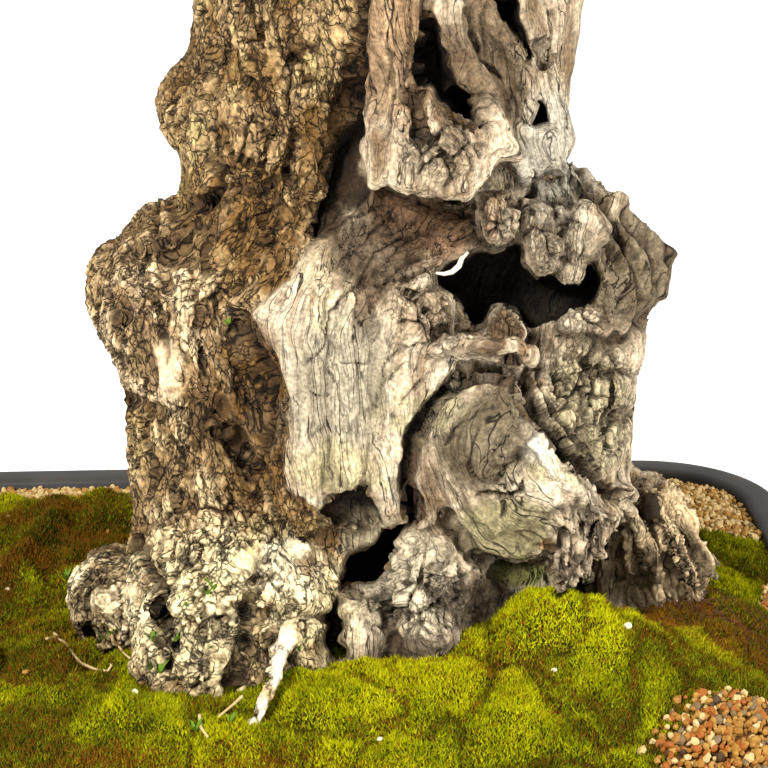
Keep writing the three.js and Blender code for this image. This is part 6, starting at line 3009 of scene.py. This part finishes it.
    def grow(self, mass: Mass, chance: Chance) -> None:
        """Grows the twigs and leaves of one mass on from its bough's tip.

        Args:
            mass: The mass.
            chance: Its source of chance.
        """
        before, foot = self.curve(mass, np.array([0.985, 1.0]))
        centre, reach = np.array(mass.at, float), np.array(mass.reach, float)
        ahead = unit(foot - before)
        stem = self.bend(foot - ahead * 4.0, foot + ahead * 18.0, centre, 8)
        self.twig(stem, *self.stem_radii)
        for number in range(self.primaries):
            share = number / (self.primaries - 1)
            climb = self.topmost - self.fall * share
            angle = number * self.golden_turn + chance.uniform(0.0, 0.7)
            flat = math.sqrt(1.0 - climb * climb)
            outward = np.array([math.cos(angle) * flat, math.sin(angle) * flat, climb])
            end = centre + outward * reach * chance.uniform(*self.primary_reach)
            start = stem[int(round((1.0 - (1.0 - self.lowest) * share) * (len(stem) - 1)))]
            arch = np.array([0.0, 0.0, self.primary_arch]) * np.linalg.norm(end - start)
            middle = start + (end - start) * 0.5 + arch + chance.normal(0.0, 4.0, 3)
            path = self.bend(start, middle, end, 9)
            self.twig(path, *self.primary_radii)
            self.side_twigs(mass, path, chance)
            self.leaf_pairs(mass, path, self.bare_shares[0], chance)

    def twig(self, path: Array, start_radius: float, end_radius: float) -> None:
        """One tapering twig."""
        sides = 6 if start_radius > self.thick_twig else 4
        self.twigs.add(path, np.linspace(start_radius, end_radius, len(path)), sides)

    @staticmethod
    def bend(start: Array, middle: Array, end: Array, count: int) -> Array:
        """Places along a curve drawn towards a middle place."""
        t = np.linspace(0.0, 1.0, count)[:, None]
        return (1 - t) ** 2 * start + 2 * t * (1 - t) * middle + t * t * end

    def side_twigs(self, mass: Mass, path: Array, chance: Chance) -> None:
        """Side twigs along a twig, each with smaller ones of its own.

        Args:
            mass: The mass that they keep to.
            path: The twig's places.
            chance: Source of chance.
        """
        length = float(np.linalg.norm(path[-1] - path[0]))
        for number, share in enumerate(self.side_shares):
            start, ahead = self.along(path, share)
            side = self.sideways(ahead, (number % 2) * math.pi + chance.normal(0.0, 0.6))
            way = self.heading(ahead, side, self.side_way)
            reach = length * (self.side_reach[0] - self.side_reach[1] * share)
            end = self.kept(mass, start, way, reach * chance.uniform(*self.side_uneven))
            twig = self.bend(start, start + (end - start) * 0.5 + chance.normal(0.0, 1.6, 3), end, 6)
            self.twig(twig, *self.side_radii)
            self.leaf_pairs(mass, twig, self.bare_shares[1], chance)
            for small, part in enumerate(self.spur_shares):
                root, forward = self.along(twig, part)
                turn = self.sideways(forward, small * math.pi + number + chance.normal(0.0, 0.5))
                spur = self.heading(forward, turn, self.spur_way)
                tip = self.kept(mass, root, spur, chance.uniform(*self.spur_reach))
                shoot = self.bend(root, (root + tip) / 2.0 + chance.normal(0.0, 0.8, 3), tip, 4)
                self.twig(shoot, *self.spur_radii)
                self.leaf_pairs(mass, shoot, self.bare_shares[2], chance)

    @staticmethod
    def heading(ahead: Array, side: Array, shares: Point) -> Array:
        """A direction that is partly a twig's own, partly sideways and partly up."""
        return ahead * shares[0] + side * shares[1] + np.array([0.0, 0.0, shares[2]])

    @staticmethod
    def along(path: Array, share: float) -> Box:
        """The place and direction a share of the way along a twig.

        Args:
            path: The twig's places.
            share: How far along, from 0 to 1.

        Returns:
            The place and the direction.
        """
        spot = share * (len(path) - 1)
        first = min(int(spot), len(path) - 2)
        way = path[first + 1] - path[first]
        return path[first] + way * (spot - first), unit(way)

    @staticmethod
    def sideways(ahead: Array, angle: float) -> Array:
        """A direction square to a twig, turned about it."""
        level = unit(np.cross(ahead, (0.0, 0.0, 1.0)))
        return level * math.cos(angle) + np.cross(ahead, level) * math.sin(angle)

    def kept(self, mass: Mass, start: Array, way: Array, reach: float) -> Array:
        """The end of a twig of some length, drawn back until it lies within its mass.

        Args:
            mass: The mass.
            start: Where the twig starts.
            way: Its direction.
            reach: Its length.

        Returns:
            The place of its end.
        """
        way = unit(way)
        for _ in range(self.keep_tries):
            end = start + way * reach
            if mass.level(end) < self.keep_within:
                return end
            reach *= self.draw_back
            way = unit(way + self.turn_in * unit(np.array(mass.at) - start))
        return start + way * reach

    def leaf_pairs(self, mass: Mass, path: Array, first: float, chance: Chance) -> None:
        """Leaves in opposite pairs along a twig, with one at its tip.

        Args:
            mass: The mass that they keep to.
            path: The twig's places.
            first: Share of the twig that is bare.
            chance: Source of chance.
        """
        count = max(int(self.length(path) * (1.0 - first) / self.pair_gap), 1)
        for number, share in enumerate(np.linspace(first, 0.98, count)):
            root, ahead = self.along(path, float(share))
            turn = number * math.pi / 2.0 + chance.normal(0.0, 0.3)
            for half in (0.0, math.pi):
                side = self.sideways(ahead, turn + half)
                self.leaf(mass, root, self.heading(ahead, side, self.pair_way), chance)
        root, ahead = self.along(path, 1.0)
        self.leaf(mass, root, ahead + chance.normal(0.0, 0.15, 3), chance)

    def leaf(self, mass: Mass, root: Array, way: Array, chance: Chance) -> None:
        """One leaf, if it stays within the mass.

        Args:
            mass: The mass.
            root: Where the leaf grows.
            way: Its direction.
            chance: Source of chance.
        """
        size = chance.uniform(*self.leaf_sizes)
        way = unit(unit(way) + np.array([0.0, 0.0, chance.uniform(*self.leaf_lift)]))
        if mass.level(root + way * self.leaf_length * size) <= 1.0:
            roll, tone = chance.normal(0.0, self.leaf_roll), chance.uniform(0.0, 1.0)
            self.leaves.append(Leaf(root, way, size, roll, tone))

    def twig_finish(self) -> Finish:
        """Grey-brown bark, slightly mottled.

        Returns:
            The material.
        """
        shade = Shade("twig_bark", 0.85)
        mottle = shade.noise(shade.place(), self.twig_mottle)
        shade.paint(shade.ramp(mottle, *self.twig_bark, *self.twig_contrast))
        return shade.material

    def join_leaves(self) -> list[Piece]:
        """Joins the leaves into pieces by tone.

        Returns:
            The pieces.
        """
        root = np.array([leaf.root for leaf in self.leaves])
        way = np.array([leaf.way for leaf in self.leaves])
        size = np.array([leaf.size for leaf in self.leaves])[:, None, None]
        roll = np.array([leaf.roll for leaf in self.leaves])[:, None]
        level = unit(np.cross(way, (0.0, 0.0, 1.0)))
        over = np.cross(level, way)
        across = level * np.cos(roll) + over * np.sin(roll)
        up = over * np.cos(roll) - level * np.sin(roll)
        scale = np.array([self.leaf_length, self.leaf_width / 2.0, self.leaf_width])
        frames = np.stack([way, across, up], axis=1)
        corners = root[:, None] + size * np.einsum("ki,nij->nkj", np.array(self.leaf_outline) * scale, frames)
        tone = np.digitize([leaf.tone for leaf in self.leaves], self.tone_steps)
        return pieces_by_tone(LEAF_TONES, tone, corners, np.array(self.leaf_faces))


@dataclass
class Pot:
    """The shallow dark oblong pot, with a lip and a foot, in metres in the shared frame."""

    length: float = 0.500
    depth: float = 0.340
    height: float = 0.095
    corner: float = 0.055
    wall: float = 0.008
    floor: float = 0.014
    taper: float = 0.020
    lip_width: float = 0.005
    lip_height: float = 0.017
    foot_height: float = 0.007
    foot_inset: float = 0.006
    drain_radius: float = 0.014
    drain_spacing: float = 0.210
    drain_sides: int = 40
    edge_round: float = 0.0028
    edge_steps: int = 3
    sharp_angle: float = math.radians(32.0)
    corner_steps: int = 20
    rim_top_levels: Pair = (0.0926, 0.0944)
    clay: Tones = ((24, 22, 20), (40, 36, 33))
    rim_top: Tones = ((48, 45, 40), (66, 61, 54))
    mottle_contrast: Pair = (0.35, 0.7)
    mottle_scale: float = 45.0
    tooth_scale: float = 1400.0
    tooth_depth: float = 0.0004

    def build(self) -> None:
        """Makes the pot, cuts its drain holes and softens its edges."""
        bpy.ops.object.select_all(action="DESELECT")
        bpy.ops.mesh.primitive_plane_add(size=1.0)
        pot = bpy.context.object
        pot.name = "pot_shell"
        self.shape()
        self.drain(pot)
        soften = pot.modifiers.new("soften", "BEVEL")
        soften.width = self.edge_round
        soften.segments = self.edge_steps
        soften.limit_method = "ANGLE"
        bpy.context.view_layer.objects.active = pot
        bpy.ops.object.modifier_apply(modifier=soften.name)
        pot.select_set(True)
        bpy.ops.object.shade_smooth_by_angle(angle=self.sharp_angle)
        pot.data.materials.clear()
        pot.data.materials.append(self.finish())
        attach(pot, "root")
        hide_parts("pot")
        LOG.info("pot_shell: %d faces", len(pot.data.polygons))

    @staticmethod
    def lift(height: float) -> None:
        """Moves what is selected up."""
        bpy.ops.transform.translate(value=(0.0, 0.0, height))

    @staticmethod
    def extrude(height: float) -> None:
        """Draws what is selected up into a wall."""
        bpy.ops.mesh.extrude_region_move(TRANSFORM_OT_translate={"value": (0.0, 0.0, height)})

    def shape(self) -> None:
        """Works from the lip's lower edge: down the outside to the foot, then over the rim and inside."""
        lip_edge = self.height - self.lip_height
        bpy.ops.object.mode_set(mode="EDIT")
        bpy.ops.mesh.select_all(action="SELECT")
        bpy.ops.transform.resize(value=(self.length, self.depth, 1.0))
        bpy.ops.mesh.bevel(offset=self.corner, segments=self.corner_steps, affect="VERTICES")
        bpy.ops.mesh.select_mode(type="FACE")
        bpy.ops.mesh.select_all(action="SELECT")
        self.lift(lip_edge)
        bpy.ops.mesh.inset(thickness=self.lip_width)
        bpy.ops.mesh.inset(thickness=self.taper)
        self.lift(self.foot_height - lip_edge)
        bpy.ops.mesh.inset(thickness=self.foot_inset)
        self.extrude(-self.foot_height)
        bpy.ops.mesh.select_mode(type="EDGE")
        bpy.ops.mesh.select_all(action="DESELECT")
        bpy.ops.mesh.select_non_manifold(
            extend=False, use_wire=False, use_multi_face=False, use_non_contiguous=False, use_verts=False
        )
        self.extrude(self.lip_height)
        bpy.ops.mesh.edge_face_add()
        bpy.ops.mesh.select_mode(type="FACE")
        bpy.ops.mesh.inset(thickness=self.lip_width + self.wall)
        bpy.ops.mesh.inset(thickness=self.taper)
        self.lift(self.floor - self.height)
        bpy.ops.mesh.select_all(action="SELECT")
        bpy.ops.mesh.normals_make_consistent(inside=False)
        bpy.ops.object.mode_set(mode="OBJECT")

    def drain(self, pot: Piece) -> None:
        """Cuts the drain holes through the floor.

        Args:
            pot: The pot.
        """
        for side in (-1.0, 1.0):
            bpy.ops.object.select_all(action="DESELECT")
            place = (side * self.drain_spacing / 2.0, 0.0, 0.0)
            bpy.ops.mesh.primitive_cylinder_add(
                vertices=self.drain_sides, radius=self.drain_radius, depth=6.0 * self.floor, location=place
            )
            plug = bpy.context.object
            cut = pot.modifiers.new("drain", "BOOLEAN")
            cut.operation = "DIFFERENCE"
            cut.object = plug
            bpy.context.view_layer.objects.active = pot
            bpy.ops.object.modifier_apply(modifier=cut.name)
            bpy.data.objects.remove(plug)

    def finish(self) -> Finish:
        """Dark matt stoneware with a slight mottle and a fine tooth, paler on top of the rim.

        Returns:
            The material.
        """
        shade = Shade("pot_stoneware", 0.5, 0.25)
        mottle = shade.noise(shade.place(), self.mottle_scale, 5.0)
        clay = shade.ramp(mottle, *self.clay, *self.mottle_contrast)
        rim_top = shade.ramp(mottle, *self.rim_top, *self.mottle_contrast)
        level = shade.add("ShaderNodeSeparateXYZ", Vector=shade.place()).outputs["Z"]
        # The rim's top is painted paler, chosen by height alone.
        shade.paint(shade.blend(shade.span(level, *self.rim_top_levels), clay, rim_top))
        shade.bump(shade.noise(shade.place(), self.tooth_scale, 3.0), 0.15, self.tooth_depth)
        return shade.material


@dataclass(frozen=True)
class Lamp:
    """A soft square lamp: its name, where it stands, its side and its power in watts."""

    name: str
    place: Point
    size: float
    power: float


@dataclass
class Studio:
    """Pale floor, soft light and the camera, in metres in the shared frame."""

    floor_size: float = 30.0
    floor_white: float = 0.97
    floor_glow: float = 0.3
    sky: float = 0.78
    lens: float = 117.2
    sensor: float = 36.0
    nearest: float = 0.01
    aim: Point = (0.06, 0.0, 0.2)
    lamps: tuple[Lamp, ...] = (
        Lamp("key_light", (-0.70, -1.28, 1.16), 0.35, 46.0),
        Lamp("side_light", (1.30, -0.7, 0.75), 0.5, 24.0),
    )

    def build(self) -> None:
        """Makes the floor, the lights and the camera."""
        self.floor()
        world = bpy.data.worlds.new("studio")
        world.use_nodes = True
        sky = world.node_tree.nodes["Background"]
        sky.inputs["Color"].default_value = (1.0, 1.0, 1.0, 1.0)
        sky.inputs["Strength"].default_value = self.sky
        bpy.context.scene.world = world
        for lamp in self.lamps:
            data = bpy.data.lights.new(lamp.name, "AREA")
            data.size = lamp.size
            data.energy = lamp.power
            self.stand(lamp.name, data, lamp.place, self.aim)
        self.camera()

    def floor(self) -> None:
        """The pale floor, which glows a little."""
        bpy.ops.object.select_all(action="DESELECT")
        bpy.ops.mesh.primitive_plane_add(size=self.floor_size)
        floor = bpy.context.object
        floor.name = "floor"
        shade = Shade("floor_white", 0.9)
        shade.paint((self.floor_white, self.floor_white, self.floor_white, 1.0))
        shade.feed(shade.shader.inputs["Emission Color"], (1.0, 1.0, 1.0, 1.0))
        shade.feed(shade.shader.inputs["Emission Strength"], self.floor_glow)
        floor.data.materials.append(shade.material)

    @staticmethod
    def stand(name: str, data: bpy.types.ID, place: Point, aim: Point) -> Piece:
        """A lamp or camera that stands at a place and points at an aim.

        Args:
            name: Its name.
            data: The lamp or camera itself.
            place: Where it stands.
            aim: Where it points.

        Returns:
            The object.
        """
        way = np.subtract(aim, place)
        climb = math.atan2(way[2], math.hypot(way[0], way[1]))
        stood = bpy.data.objects.new(name, data)
        stood.location = place
        stood.rotation_euler = (math.pi / 2 + climb, 0.0, math.atan2(way[1], way[0]) - math.pi / 2)
        bpy.context.scene.collection.objects.link(stood)
        return stood

    def camera(self) -> None:
        """The camera at the photograph's angle."""
        sine, cosine = PHOTO.lean
        eye = (0.0, -PHOTO.distance * cosine, PHOTO.aim_height + PHOTO.distance * sine)
        eye, aim = SEAT.to_row(np.array([eye, (0.0, 0.0, PHOTO.aim_height)]))
        data = bpy.data.cameras.new("camera")
        data.lens = self.lens
        data.sensor_width = self.sensor
        data.clip_start = self.nearest
        bpy.context.scene.camera = self.stand("camera", data, tuple(eye), tuple(aim))


def main() -> None:
    """Builds the plant's pieces and the studio in order."""
    logging.basicConfig(level=logging.INFO, format="%(relativeCreated)6d %(message)s")
    Pot().build()
    trunk = Trunk()
    trunk.build()
    ground = Ground()
    ground.build(trunk.solid)
    Litter().build(trunk.solid, ground)
    Crown().build(trunk.paint)
    Studio().build()
    bpy.context.scene.view_settings.view_transform = "Standard"


if __name__ == "__main__":
    main()
